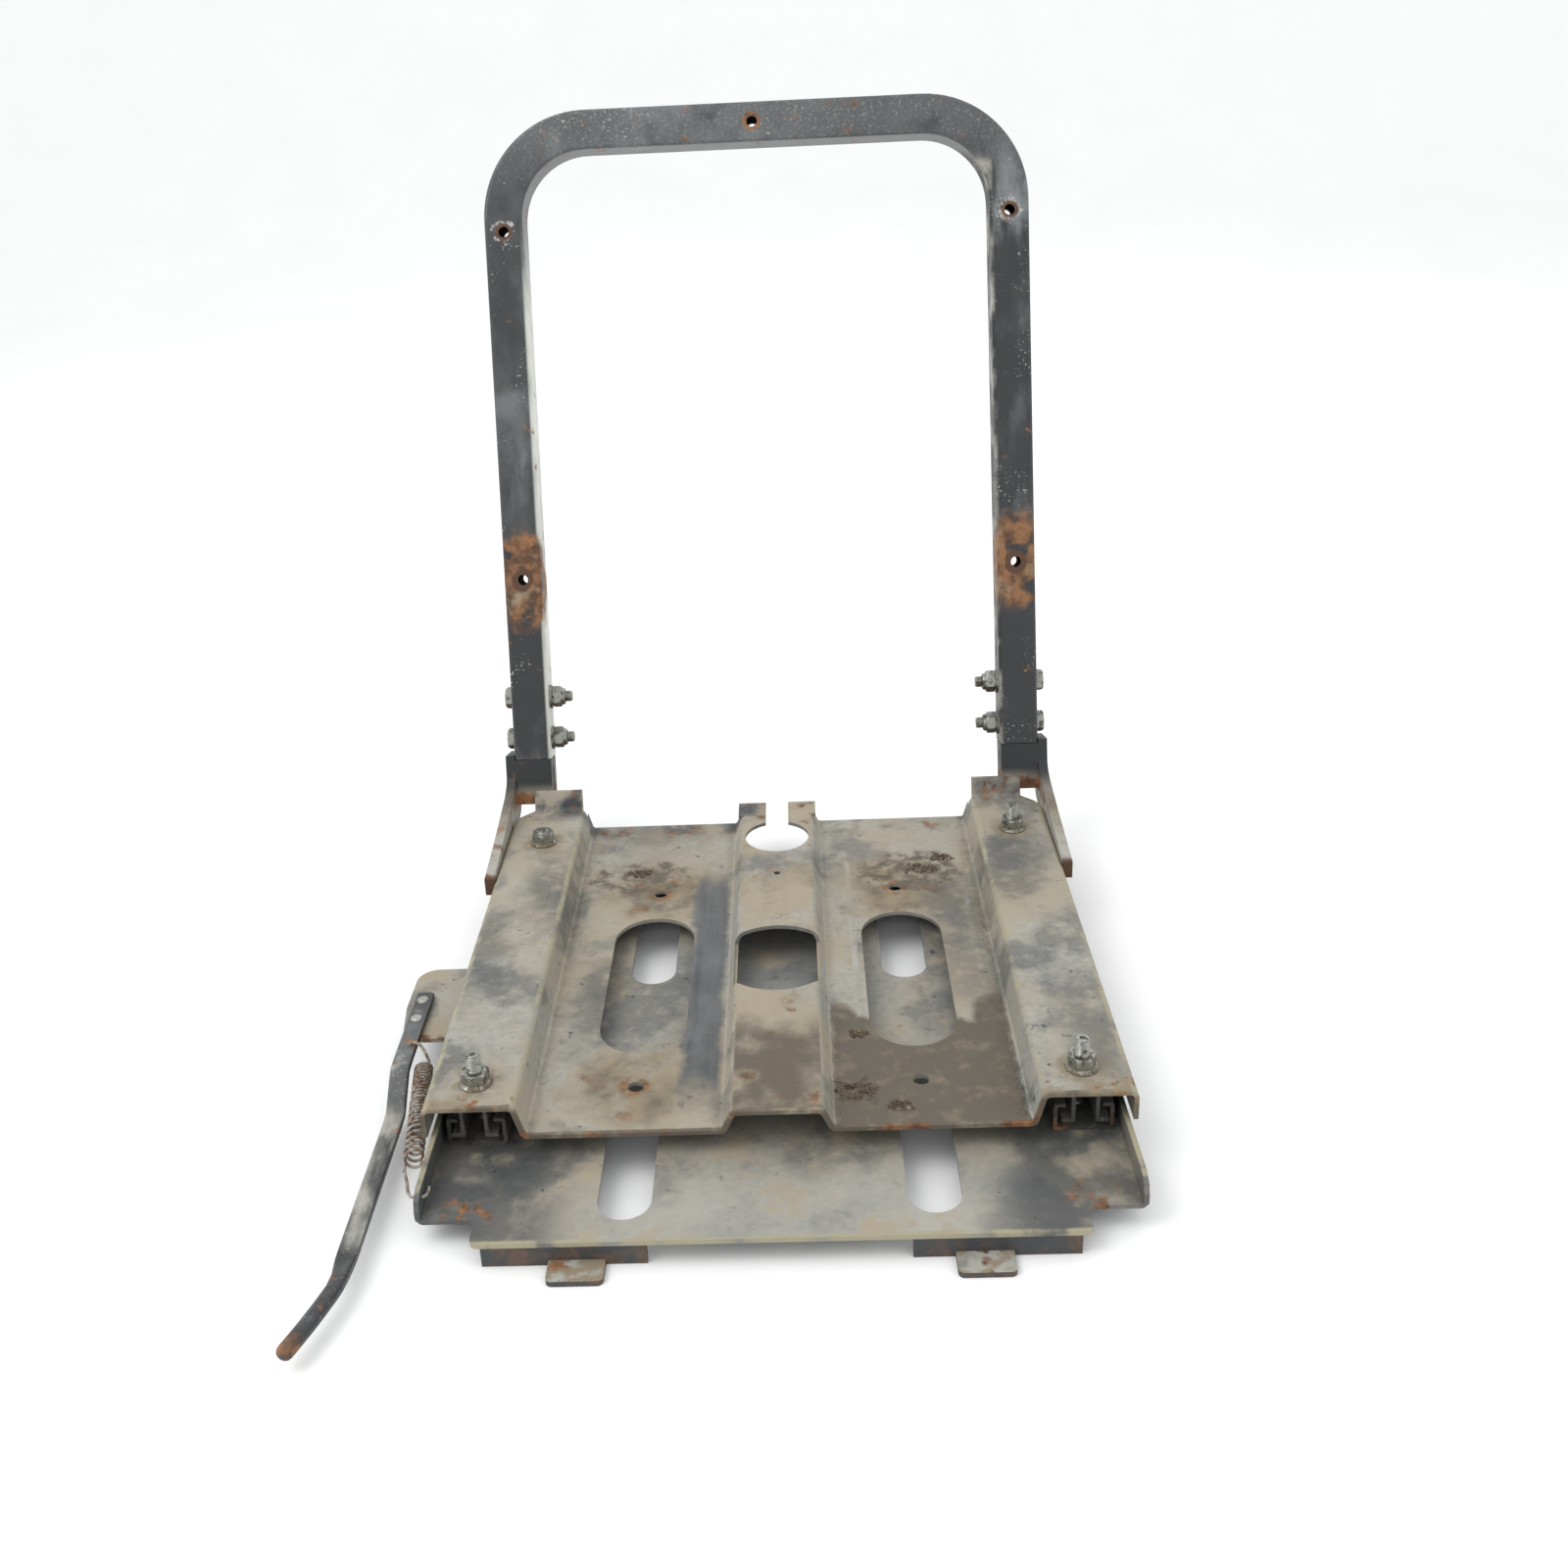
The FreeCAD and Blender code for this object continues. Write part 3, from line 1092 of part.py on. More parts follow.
def make_back_hoop():
    body = new_body("back_hoop")
    path = hoop_path(body)
    leg_x, middle_y = -(half_width - tube_size / 2), tube_size / 2
    for half, kind in ((tube_size / 2, "PartDesign::AdditivePipe"),
                       (tube_size / 2 - tube_wall, "PartDesign::SubtractivePipe")):
        section = new_sketch(body, "XY_Plane")
        box_outline(section, leg_x - half, leg_x + half, middle_y - half, middle_y + half)
        sweep = body.newObject(kind, f"{body.Name}_sweep")
        sweep.Profile = section
        sweep.Spine = (path, [])
        doc.recompute()
    fillet(body, tube_corner, on_tube_corner)
    cushion = new_sketch(body, "XZ_Plane", -(tube_size / 2))
    for side in (LEFT, RIGHT):
        for z in (hoop_low_hole, hoop_high_hole):
            circle(cushion, (half_width - tube_size / 2) * side, z, hoop_hole_radius)
    circle(cushion, 0, hoop_long - tube_size / 2, hoop_hole_radius)
    pocket(body, cushion, tube_size * 2, both=True)
    bores = new_sketch(body, "YZ_Plane")
    for z in hoop_bolt_heights():
        circle(bores, middle_y, z, bolt_hole)
    pocket(body, bores, half_width * 3, both=True)
    lean_back(body)
    return body


def on_tube_corner(edge):
    """True for the long outside edges of the square tube."""
    middle = edge.CenterOfMass
    on_face = abs(middle.y) < NEAR or abs(middle.y - tube_size.value) < NEAR
    return on_face and not is_tube_end(edge)


def is_tube_end(edge):
    return runs_along(edge, 0) and abs(edge.CenterOfMass.z) < NEAR


def hoop_bolt_heights():
    return (hoop_bolt_low, hoop_bolt_high)


def make_hoop_fasteners():
    """Bolts with heads outboard, washers and lock nuts inboard, mirrored by side."""
    middle_y = tube_size / 2
    inner = half_width - tube_size
    under_washer = inner - washer_thick
    under_nut = under_washer - lock_nut_high
    pieces = {
        "hoop_bolts": [(half_width, bolt_head_high, "hex"),
                       (inner - bolt_past, tube_size + bolt_past, "shank")],
        "hoop_washers": [(under_washer, washer_thick, "washer")],
        "hoop_nuts": [(under_nut, lock_nut_high, "hex"),
                      (under_nut - lock_collar_high, lock_collar_high, "collar")],
    }
    made = []
    for label, steps in pieces.items():
        body = new_body(label)
        for side in (LEFT, RIGHT):
            for start, length, kind in steps:
                face = new_sketch(body, "YZ_Plane", start * side)
                for z in hoop_bolt_heights():
                    draw_fastener_face(face, kind, middle_y, z)
                pad(body, face, length, back=side == LEFT)
        if label == "hoop_nuts":
            bores = new_sketch(body, "YZ_Plane")
            for z in hoop_bolt_heights():
                circle(bores, middle_y, z, bolt_radius + thread_play)
            pocket(body, bores, half_width * 3, both=True)
        lean_back(body)
        made.append(body)
    return made


def draw_fastener_face(face, kind, y, z):
    if kind == "hex":
        hexagon(face, y, z, hex_flats)
    elif kind == "shank":
        circle(face, y, z, bolt_radius)
    elif kind == "collar":
        circle(face, y, z, lock_collar)
    else:
        circle(face, y, z, washer_radius)
        circle(face, y, z, bolt_hole)


# ---- build, check, write ---------------------------------------------------------

def build_all():
    made = [make_base_plate()]
    for name, side in SIDES:
        made.append(make_foot(f"front_tongue_{name}", side, over, -tongue_reach))
        made.append(make_foot(f"rear_foot_{name}", side, base_rear - foot_setback,
                              base_rear + foot_past))
        made.append(make_lower_rail(f"lower_rail_{name}", side))
    made += [make_rail_rivets(), make_lever_pivot(), make_latch_plate(), make_lever_bar()]
    made += [make_lever_rivets(), make_spring()]
    for name, side in SIDES:
        made.append(make_ball_cage(f"ball_cage_{name}", side))
        made.append(make_balls(f"balls_{name}", side))
    made.append(make_seat_pan())
    for name, side in SIDES:
        made.append(make_upper_rail(f"upper_rail_{name}", side))
        made.append(make_gusset(f"gusset_{name}", side))
        made.append(make_stub(f"bracket_stub_{name}", side))
        made.append(make_spigot(f"bracket_spigot_{name}", side))
    made += [make_rail_studs(), make_rail_nuts(), make_back_hoop()]
    made += make_hoop_fasteners()
    return made


def check_all(parts):
    doc.recompute()
    for item in doc.Objects:
        if "Invalid" in item.State or "Error" in item.State:
            raise RuntimeError(f"{item.Label} failed: {item.State}")
    for part in parts:
        if part.Shape.isNull() or not part.Shape.isValid():
            raise RuntimeError(f"{part.Label} has no valid shape")


def write_all(parts):
    os.makedirs("parts", exist_ok=True)
    for part in parts:
        part.Shape.exportStep(f"parts/{part.Label}.step")
        box = part.Shape.BoundBox
        print(f"{part.Label}: {len(part.Shape.Solids)} solids, {part.Shape.Volume / 1000:.2f} cm3, "
              f"X {box.XMin:.1f}..{box.XMax:.1f} Y {box.YMin:.1f}..{box.YMax:.1f} "
              f"Z {box.ZMin:.1f}..{box.ZMax:.1f}")


pieces = build_all()
check_all(pieces)
write_all(pieces)
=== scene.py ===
"""Bare vehicle seat frame: finishes for its steel parts, fine detail for its fasteners,
lever and spring, and a pale studio. Metres, in the frame's own axes: +Y to the rear, +Z up."""

import math

import bpy
from bpy.props import FloatProperty, FloatVectorProperty, IntProperty, PointerProperty
from mathutils import Matrix, Vector


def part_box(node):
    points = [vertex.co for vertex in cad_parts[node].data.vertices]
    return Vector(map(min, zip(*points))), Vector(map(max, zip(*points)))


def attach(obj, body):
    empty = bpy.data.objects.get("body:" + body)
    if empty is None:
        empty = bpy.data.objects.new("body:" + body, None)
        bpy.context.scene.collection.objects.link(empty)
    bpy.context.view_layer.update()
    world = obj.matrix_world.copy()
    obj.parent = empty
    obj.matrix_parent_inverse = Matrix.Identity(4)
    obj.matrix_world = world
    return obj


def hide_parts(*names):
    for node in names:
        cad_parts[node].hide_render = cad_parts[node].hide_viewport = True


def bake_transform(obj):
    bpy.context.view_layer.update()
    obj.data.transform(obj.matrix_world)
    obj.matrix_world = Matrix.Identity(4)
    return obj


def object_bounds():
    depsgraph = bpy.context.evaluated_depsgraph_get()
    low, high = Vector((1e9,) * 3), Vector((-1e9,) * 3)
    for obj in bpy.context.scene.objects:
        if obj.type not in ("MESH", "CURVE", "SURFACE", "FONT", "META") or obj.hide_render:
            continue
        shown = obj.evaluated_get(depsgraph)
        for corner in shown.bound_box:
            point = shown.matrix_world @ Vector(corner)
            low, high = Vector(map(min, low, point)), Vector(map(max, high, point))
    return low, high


bl_info = {
    "name": "Sliding Seat Frame",
    "version": (1, 0, 0),
    "blender": (4, 5, 0),
    "location": "3D View > Sidebar > Seat Frame",
    "description": "Finishes, fasteners, lever and spring of a bare sliding seat frame",
    "category": "Object",
}

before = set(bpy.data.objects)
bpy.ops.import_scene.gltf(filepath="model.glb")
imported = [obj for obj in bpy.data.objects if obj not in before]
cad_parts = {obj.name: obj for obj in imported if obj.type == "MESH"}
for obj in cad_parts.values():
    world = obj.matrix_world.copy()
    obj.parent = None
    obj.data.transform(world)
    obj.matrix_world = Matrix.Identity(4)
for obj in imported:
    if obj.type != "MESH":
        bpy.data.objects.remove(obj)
CAD_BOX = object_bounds()

MM = 0.001
LEFT = -1
RIGHT = 1
OUTWARD = 1
INWARD = -1


# ---- places taken from the frame ------------------------------------------------

def middle_of(node):
    low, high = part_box(node)
    return (low + high) / 2


RAIL_MID = middle_of("upper_rail_right").x
HAT_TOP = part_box("rail_nuts")[0].z
NUT_FLANGE = 8.6 * MM
STUD_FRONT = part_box("rail_nuts")[0].y + NUT_FLANGE
STUD_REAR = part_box("rail_nuts")[1].y - NUT_FLANGE
PAN_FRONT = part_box("seat_pan")[0].y
HOOP_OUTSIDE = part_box("back_hoop")[1].x
HOOP_LEAN = math.radians(15.7)
HOOP_FOOT = Vector((0, 0.396, 0.077))
TUBE = 25 * MM
WASHER = 1.6 * MM

# Heights along the leaning hoop of its cushion holes.
LOW_HOLE = 121.7 * MM
HIGH_HOLE = 349 * MM
TOP_HOLE = 411.5 * MM

# The pressed pan: distances are from the seat's middle plane, rows from the base's front edge.
FIELD_TOP = 27 * MM
FIELD_MID = 77 * MM
FIELD_HALF = 47 * MM
RIB_HALF = 24.5 * MM
WINDOW_MID = 81 * MM
WINDOW_ROW = 235 * MM
HOLE_MID = 73.7 * MM
HOLE_ROWS = (99 * MM, 296 * MM)
HAT_BENDS = ((129.5 * MM, 2.6 * MM), (175.5 * MM, 2.0 * MM))

# Soil on the pan, in mm: (across, row, radius) of heaps, (across, row, turn, length) of stalks.
SOIL_HEAPS = ((40, 90, 11), (43, 140, 5), (91, 319, 11), (106, 332, 7), (62, 78, 6), (-88, 322, 8))
SOIL_STALKS = ((40, 88, 0.5, 20), (47, 86, 1.9, 14), (34, 95, 2.7, 12), (43, 97, 1.1, 10),
               (92, 322, 0.3, 13), (104, 333, 2.2, 11))

IN_PLAN = (1, 1, 0)


def on_hoop(across, depth, height):
    """A point given in the hoop's own leaning frame: across, into the tube, up the legs."""
    lean, foot = HOOP_LEAN, HOOP_FOOT
    return Vector((
        across,
        foot.y + depth * math.cos(lean) + height * math.sin(lean),
        foot.z - depth * math.sin(lean) + height * math.cos(lean),
    ))


# ---- settings ---------------------------------------------------------------------

def colour_setting(name, default, note):
    return FloatVectorProperty(name=name, description=note, default=default, size=3,
                               min=0, max=1, subtype="COLOR")


def length_setting(name, default, note):
    return FloatProperty(name=name, description=note, default=default, unit="LENGTH", precision=5)


class SeatFrameColours(bpy.types.PropertyGroup):
    paint: colour_setting("Paint", (0.040, 0.046, 0.051), "Weathered black paint of the pan and base")
    hoop_paint: colour_setting("Hoop Paint", (0.016, 0.018, 0.019), "Satin black paint of the backrest hoop")
    dust: colour_setting("Dust", (0.365, 0.355, 0.315), "Dry dust on upward faces")
    warm_dust: colour_setting("Warm Dust", (0.335, 0.285, 0.205), "Brownish dust")
    tan: colour_setting("Dried Mud", (0.250, 0.205, 0.138), "Thin dried mud on the pan's low fields")
    mud: colour_setting("Damp Mud", (0.115, 0.095, 0.070), "Damp mud at the pan's front right")
    rust: colour_setting("Rust", (0.260, 0.125, 0.055), "Bright rust")
    dark_rust: colour_setting("Old Rust", (0.085, 0.042, 0.024), "Old dark rust")
    worn: colour_setting("Worn Edge", (0.33, 0.30, 0.20), "Pale worn sheet edges")
    # Haze colour: a dull film on the pan, base and lever; on the hoop it is also a painted reflection,
    # standing for the sheen of its satin paint.
    haze_and_sheen: colour_setting("Haze", (0.170, 0.180, 0.185), "Dull film on satin paint")
    # A painted highlight: the pale colour given to the inner face of the hoop's left leg, standing for the
    # light that falls on it.
    painted_highlight: colour_setting("Painted Highlight", (0.62, 0.63, 0.57), "Pale inner face of the hoop's left leg")
    zinc: colour_setting("Zinc", (0.31, 0.32, 0.29), "Pale greenish zinc plating")
    steel: colour_setting("Steel", (0.40, 0.39, 0.37), "Bare dull steel")


class SeatFrameSizes(bpy.types.PropertyGroup):
    wire: length_setting("Spring Wire", 0.8 * MM, "Radius of the spring's wire")
    coil: length_setting("Spring Coil", 4.4 * MM, "Radius of the coil at the middle of its wire")
    close_turns: IntProperty(name="Close Turns", description="Turns of the closely wound part",
                             default=20, min=1)
    open_turns: IntProperty(name="Open Turns", description="Turns of the stretched front part",
                            default=5, min=1)
    bolt: length_setting("Bolt", 3.9 * MM, "Radius of bolts and studs over their threads")
    pitch: length_setting("Thread Pitch", 1.25 * MM, "Distance between two turns of a thread")
    thread: length_setting("Thread Depth", 0.62 * MM, "Depth of a thread")
    hexagon: length_setting("Hexagon", 12.7 * MM, "Size across the flats of heads and nuts")
    bar_width: length_setting("Bar Width", 10 * MM, "Width of the lever's flat bar")
    bar_thickness: length_setting("Bar Thickness", 4 * MM, "Thickness of the lever's flat bar")
    handle: length_setting("Handle", 4 * MM, "Radius of the lever's round handle")
    crumbs: IntProperty(name="Crumbs", description="Crumbs of soil in each heap on the pan",
                        default=110, min=0)


# ---- node trees -------------------------------------------------------------------

SOCKET_KINDS = {float: "Float", int: "Int", tuple: "Vector"}


def spaced(label):
    """A socket's name, from the word that stands for it in a call."""
    return label.replace("_", " ")


def add_node(tree, kind, inputs=None, **options):
    """Add a node, set its options, and fill or link its inputs by name or number."""
    item = tree.nodes.new(kind)
    for name, value in options.items():
        setattr(item, name, value)
    for name, value in (inputs or {}).items():
        if isinstance(value, bpy.types.NodeSocket):
            tree.links.new(value, item.inputs[name])
        else:
            item.inputs[name].default_value = value
    return item


def math_of(tree, operation, first, second=0.0, third=0.0):
    inputs = {0: first, 1: second, 2: third}
    return add_node(tree, "ShaderNodeMath", inputs, operation=operation).outputs[0]


def vector_of(tree, operation, first, second=(0, 0, 0), third=(0, 0, 0), output=0):
    inputs = {0: first, 1: second, 2: third}
    return add_node(tree, "ShaderNodeVectorMath", inputs, operation=operation).outputs[output]


def step_of(tree, value, low, high):
    """0 below low, 1 above high, smooth between; high may be under low."""
    inputs = {"Value": value, "From Min": low, "From Max": high}
    return add_node(tree, "ShaderNodeMapRange", inputs, interpolation_type="SMOOTHSTEP").outputs[0]


def noise_of(tree, where, scale, detail=4.0, roughness=0.55):
    inputs = {"Vector": where, "Scale": scale, "Detail": detail, "Roughness": roughness}
    return add_node(tree, "ShaderNodeTexNoise", inputs).outputs[0]


def new_group(name, kind, outputs, **inputs):
    """An empty node group, with the sockets of its two ends.

    An input is given as its default value, or as the name of its kind where it has none.
    """
    tree = bpy.data.node_groups.new(name, kind)
    for label, value in inputs.items():
        socket = value if isinstance(value, str) else SOCKET_KINDS[type(value)]
        made = tree.interface.new_socket(spaced(label), in_out="INPUT", socket_type=f"NodeSocket{socket}")
        if value != socket:
            made.default_value = value
    for label, socket in outputs.items():
        tree.interface.new_socket(label, in_out="OUTPUT", socket_type=f"NodeSocket{socket}")
    return tree, tree.nodes.new("NodeGroupInput").outputs, tree.nodes.new("NodeGroupOutput").inputs


def shader_group(name, outputs, **inputs):
    return new_group(name, "ShaderNodeTree", outputs, Vector="Vector", **inputs)


def build_spot_group():
    """Mask of a ragged round patch about a point."""
    tree, given, out = shader_group("ragged_spot", {"Mask": "Float"}, Centre="Vector", Stretch=(1, 1, 1),
                                    Radius=0.02, Fade=0.004, Ragged=0.01, Grain=120.0)
    away = vector_of(tree, "SUBTRACT", given["Vector"], given["Centre"])
    away = vector_of(tree, "MULTIPLY", away, given["Stretch"])
    distance = vector_of(tree, "LENGTH", away, output="Value")
    ragged = math_of(tree, "SUBTRACT", noise_of(tree, given["Vector"], given["Grain"]), 0.5)
    distance = math_of(tree, "MULTIPLY_ADD", ragged, given["Ragged"], distance)
    inside = math_of(tree, "SUBTRACT", given["Radius"], given["Fade"])
    outside = math_of(tree, "ADD", given["Radius"], given["Fade"])
    tree.links.new(step_of(tree, distance, outside, inside), out["Mask"])
    return tree


def build_strip_group():
    """Mask of a ragged strip where a value is near its centre."""
    tree, given, out = shader_group("ragged_strip", {"Mask": "Float"}, Value=0.0, Centre=0.0,
                                    Half_Width=0.01, Fade=0.002, Ragged=0.004, Grain=150.0)
    away = math_of(tree, "ABSOLUTE", math_of(tree, "SUBTRACT", given["Value"], given["Centre"]))
    ragged = math_of(tree, "SUBTRACT", noise_of(tree, given["Vector"], given["Grain"]), 0.5)
    away = math_of(tree, "MULTIPLY_ADD", ragged, given["Ragged"], away)
    inside = math_of(tree, "SUBTRACT", given["Half Width"], given["Fade"])
    outside = math_of(tree, "ADD", given["Half Width"], given["Fade"])
    tree.links.new(step_of(tree, away, outside, inside), out["Mask"])
    return tree


def build_weather_group():
    """Dirt that every old part shares: patches, fine specks and rubbed streaks."""
    masks = dict.fromkeys(("Patches", "Specks", "Streaks", "Grain"), "Float")
    tree, given, out = shader_group("weather", masks, Patch_Scale=30.0, Speck_Scale=700.0, Streak=(1, 1, 1))
    where = given["Vector"]
    patches = noise_of(tree, where, given["Patch Scale"], 7, 0.62)
    tree.links.new(step_of(tree, patches, 0.38, 0.62), out["Patches"])
    specks = noise_of(tree, where, given["Speck Scale"], 2, 0.5)
    tree.links.new(step_of(tree, specks, 0.62, 0.72), out["Specks"])
    stretched = vector_of(tree, "MULTIPLY", where, given["Streak"])
    streaks = noise_of(tree, stretched, 60, 5, 0.6)
    tree.links.new(step_of(tree, streaks, 0.42, 0.66), out["Streaks"])
    tree.links.new(noise_of(tree, where, 1400, 3, 0.6), out["Grain"])
    return tree


def build_rust_group():
    """Colour of rust, from dark old scale to bright orange powder, and its rough height."""
    tree, given, out = shader_group("rust", {"Color": "Color", "Height": "Float"},
                                    Bright="Color", Dark="Color")
    scale = noise_of(tree, given["Vector"], 110, 8, 0.72)
    powder = step_of(tree, scale, 0.36, 0.62)
    mixed = add_node(tree, "ShaderNodeMix", {0: powder, 6: given["Dark"], 7: given["Bright"]},
                     data_type="RGBA").outputs[2]
    tree.links.new(mixed, out["Color"])
    tree.links.new(scale, out["Height"])
    return tree


def build_outline_group():
    """Signed distance from a rounded rectangle in plan, less than zero inside it."""
    tree, given, out = shader_group("rounded_outline", {"Distance": "Float"}, Centre="Vector",
                                    Half_Size="Vector", Corner=0.02)
    away = vector_of(tree, "ABSOLUTE", vector_of(tree, "SUBTRACT", given["Vector"], given["Centre"]))
    away = vector_of(tree, "SUBTRACT", away, given["Half Size"])
    flat = vector_of(tree, "MULTIPLY", away, (1, 1, 0))
    corner = add_node(tree, "ShaderNodeCombineXYZ", {0: given["Corner"], 1: given["Corner"]}).outputs[0]
    past = vector_of(tree, "MAXIMUM", vector_of(tree, "ADD", flat, corner), (0, 0, 0))
    reach = vector_of(tree, "LENGTH", past, output="Value")
    tree.links.new(math_of(tree, "SUBTRACT", reach, given["Corner"]), out["Distance"])
    return tree


GROUP_BUILDERS = {
    "ragged_spot": build_spot_group,
    "ragged_strip": build_strip_group,
    "weather": build_weather_group,
    "rust": build_rust_group,
    "rounded_outline": build_outline_group,
}


def shared_group(name):
    return bpy.data.node_groups.get(name) or GROUP_BUILDERS[name]()


# ---- finishes ---------------------------------------------------------------------

class Finish:
    """A material built up in layers, from its bare surface outwards."""

    def __init__(self, name, colour, roughness, metallic=0.0, coat=0.0):
        self.material = bpy.data.materials.new(name)
        self.material.use_nodes = True
        self.tree = self.material.node_tree
        self.shader = self.tree.nodes["Principled BSDF"]
        self.shader.inputs["Metallic"].default_value = metallic
        self.shader.inputs["Coat Weight"].default_value = coat
        self.where = self.tree.nodes.new("ShaderNodeTexCoord").outputs["Object"]
        self.x, self.y, self.z = add_node(self.tree, "ShaderNodeSeparateXYZ", {0: self.where}).outputs
        facing = self.tree.nodes.new("ShaderNodeNewGeometry").outputs["Normal"]
        self.up = add_node(self.tree, "ShaderNodeSeparateXYZ", {0: facing}).outputs["Z"]
        self.colour = (*colour, 1)
        self.roughness = roughness
        self.relief = 0.0
        colours = bpy.context.scene.seat_frame_colours
        rust = self.group("rust", Bright=(*colours.rust, 1), Dark=(*colours.dark_rust, 1))
        self.rust_colour, self.rust_height = rust["Color"], rust["Height"]

    def group(self, name, **inputs):
        """Place a shared group, fill or link its named inputs and return its outputs."""
        item = self.tree.nodes.new("ShaderNodeGroup")
        item.node_tree = shared_group(name)
        inputs["Vector"] = self.where
        for label, value in inputs.items():
            socket = item.inputs[spaced(label)]
            if isinstance(value, bpy.types.NodeSocket):
                self.tree.links.new(value, socket)
            else:
                socket.default_value = value
        return item.outputs

    def weather(self, patch=30.0, speck=700.0, streak=(1, 1, 1)):
        return self.group("weather", Patch_Scale=patch, Speck_Scale=speck, Streak=streak)

    def noise(self, scale, low=0.4, high=0.6, detail=4.0):
        """Noise with about so many lumps to the metre, 0 under low and 1 over high."""
        return step_of(self.tree, noise_of(self.tree, self.where, scale, detail), low, high)

    def step(self, value, low, high):
        return step_of(self.tree, value, low, high)

    def both(self, *masks):
        """Where every mask is."""
        whole = masks[0]
        for mask in masks[1:]:
            whole = math_of(self.tree, "MULTIPLY", whole, mask)
        return whole

    def broken(self, mask, scale, low=0.4, high=0.6, detail=4.0):
        """A mask broken up by noise."""
        return self.both(mask, self.noise(scale, low, high, detail))

    def either(self, *masks):
        """Where any mask is."""
        whole = masks[0]
        for mask in masks[1:]:
            whole = math_of(self.tree, "MAXIMUM", whole, mask)
        return whole

    def sum_of(self, *parts, start=0.0):
        """A start plus each mask times its own share."""
        total = start
        for mask, share in parts:
            total = math_of(self.tree, "MULTIPLY_ADD", mask, share, total)
        return total

    def spot(self, centre, radius, fade=0.004, ragged=0.012, stretch=(1, 1, 1), grain=120):
        return self.group("ragged_spot", Centre=centre, Radius=radius, Fade=fade, Ragged=ragged,
                          Stretch=stretch, Grain=grain)["Mask"]

    def spots(self, centres, radius, **options):
        return self.either(*[self.spot(centre, radius, **options) for centre in centres])

    def strip(self, value, centre, half, fade=0.002, ragged=0.004, grain=150):
        return self.group("ragged_strip", Value=value, Centre=centre, Half_Width=half, Fade=fade,
                          Ragged=ragged, Grain=grain)["Mask"]

    def across(self):
        """Distance from the seat's middle plane."""
        return math_of(self.tree, "ABSOLUTE", self.x)

    def layer(self, mask, colour, roughness, share=1.0):
        """Lay a colour and its roughness over what is there, by the mask times the share."""
        if share != 1.0:
            mask = math_of(self.tree, "MULTIPLY", mask, share)
        if not isinstance(colour, bpy.types.NodeSocket):
            colour = (*colour, 1)
        mix = {0: mask, 6: self.colour, 7: colour}
        self.colour = add_node(self.tree, "ShaderNodeMix", mix, data_type="RGBA").outputs[2]
        mix = {0: mask, 2: self.roughness, 3: roughness}
        self.roughness = add_node(self.tree, "ShaderNodeMix", mix, data_type="FLOAT").outputs[0]

    def raise_by(self, height, metres):
        self.relief = math_of(self.tree, "MULTIPLY_ADD", height, metres, self.relief)

    def done(self):
        """Join the layers to the shader and hand back the material."""
        for name, value in (("Base Color", self.colour), ("Roughness", self.roughness)):
            if isinstance(value, bpy.types.NodeSocket):
                self.tree.links.new(value, self.shader.inputs[name])
            else:
                self.shader.inputs[name].default_value = value
        if isinstance(self.relief, bpy.types.NodeSocket):
            bump = add_node(self.tree, "ShaderNodeBump", {"Height": self.relief, "Distance": 1.0})
            self.tree.links.new(bump.outputs[0], self.shader.inputs["Normal"])
        return self.material


def paint_with_dust(name, colours, patch, dusty=1.0, paint=None):
    """Weathered dark paint under a cloudy film of gritty dust, rubbed through in patches."""
    finish = Finish(name, paint or colours.paint, 0.45)
    dirt = finish.weather(patch, 900)
    settled = finish.step(finish.up, -0.5, 0.5)
    cloud = finish.noise(13, 0.25, 0.65, 9)
    grit = finish.noise(260, 0.30, 0.65, 6)
    rubbed = finish.broken(finish.noise(patch * 0.6, 0.50, 0.60, 10), 85, 0.20, 0.50, 8)
    film = finish.sum_of((cloud, 0.34), (grit, 0.24), start=0.52)
    film = finish.both(film, settled, finish.sum_of((rubbed, -0.62), start=1.0))
    film = finish.sum_of((film, dusty))
    finish.layer(film, colours.dust, 0.85)
    finish.layer(finish.broken(film, patch * 0.45, 0.36, 0.60, 10), colours.warm_dust, 0.88, share=0.85)
    finish.layer(finish.broken(dirt["Specks"], 40), colours.worn, 0.7)
    finish.layer(finish.broken(finish.noise(170, 0.62, 0.72, 6), 30), colours.paint, 0.6)
    finish.raise_by(dirt["Grain"], 0.00005)
    finish.raise_by(grit, 0.00008)
    return finish, dirt


def pan_finish(colours):
    """Dust, mud, rust and shallow pressed relief on the seat pan."""
    finish, _ = paint_with_dust("pan_paint", colours, 26)
    across, flat = finish.across(), finish.step(finish.up, 0.75, 0.95)
    low_field = finish.both(finish.strip(across, FIELD_MID, FIELD_HALF, 0.003, 0.006),
                            finish.step(finish.z, FIELD_TOP + 2.5 * MM, FIELD_TOP + 1 * MM), flat)
    finish.layer(finish.broken(low_field, 17, 0.48, 0.72, 10), colours.tan, 0.9, share=0.7)
    add_recesses(finish, colours, low_field)
    add_hole_stains(finish, colours, low_field)
    add_bare_band(finish, colours, low_field)
    add_rubbed_paint(finish, colours)
    add_damp_mud(finish, colours, low_field)
    add_rib_dirt(finish, colours, across, flat)
    add_pan_rust(finish, colours, across)
    return finish.done()


def add_recesses(finish, colours, low_field):
    """The shallow recess pressed round each window, with dust along its rim."""
    outlines = [finish.group("rounded_outline", Centre=(WINDOW_MID * side, WINDOW_ROW, 0),
                             Half_Size=(0.036, 0.122, 0), Corner=0.030)["Distance"]
                for side in (RIGHT, LEFT)]
    outline = math_of(finish.tree, "MINIMUM", *outlines)
    finish.raise_by(finish.both(low_field, finish.step(outline, -0.0035, 0.0015)), 0.9 * MM)
    rim = finish.both(low_field, finish.strip(outline, 0.0, 0.0016, 0.001, 0.002))
    finish.layer(finish.broken(rim, 34, 0.52, 0.70), colours.dust, 0.8)


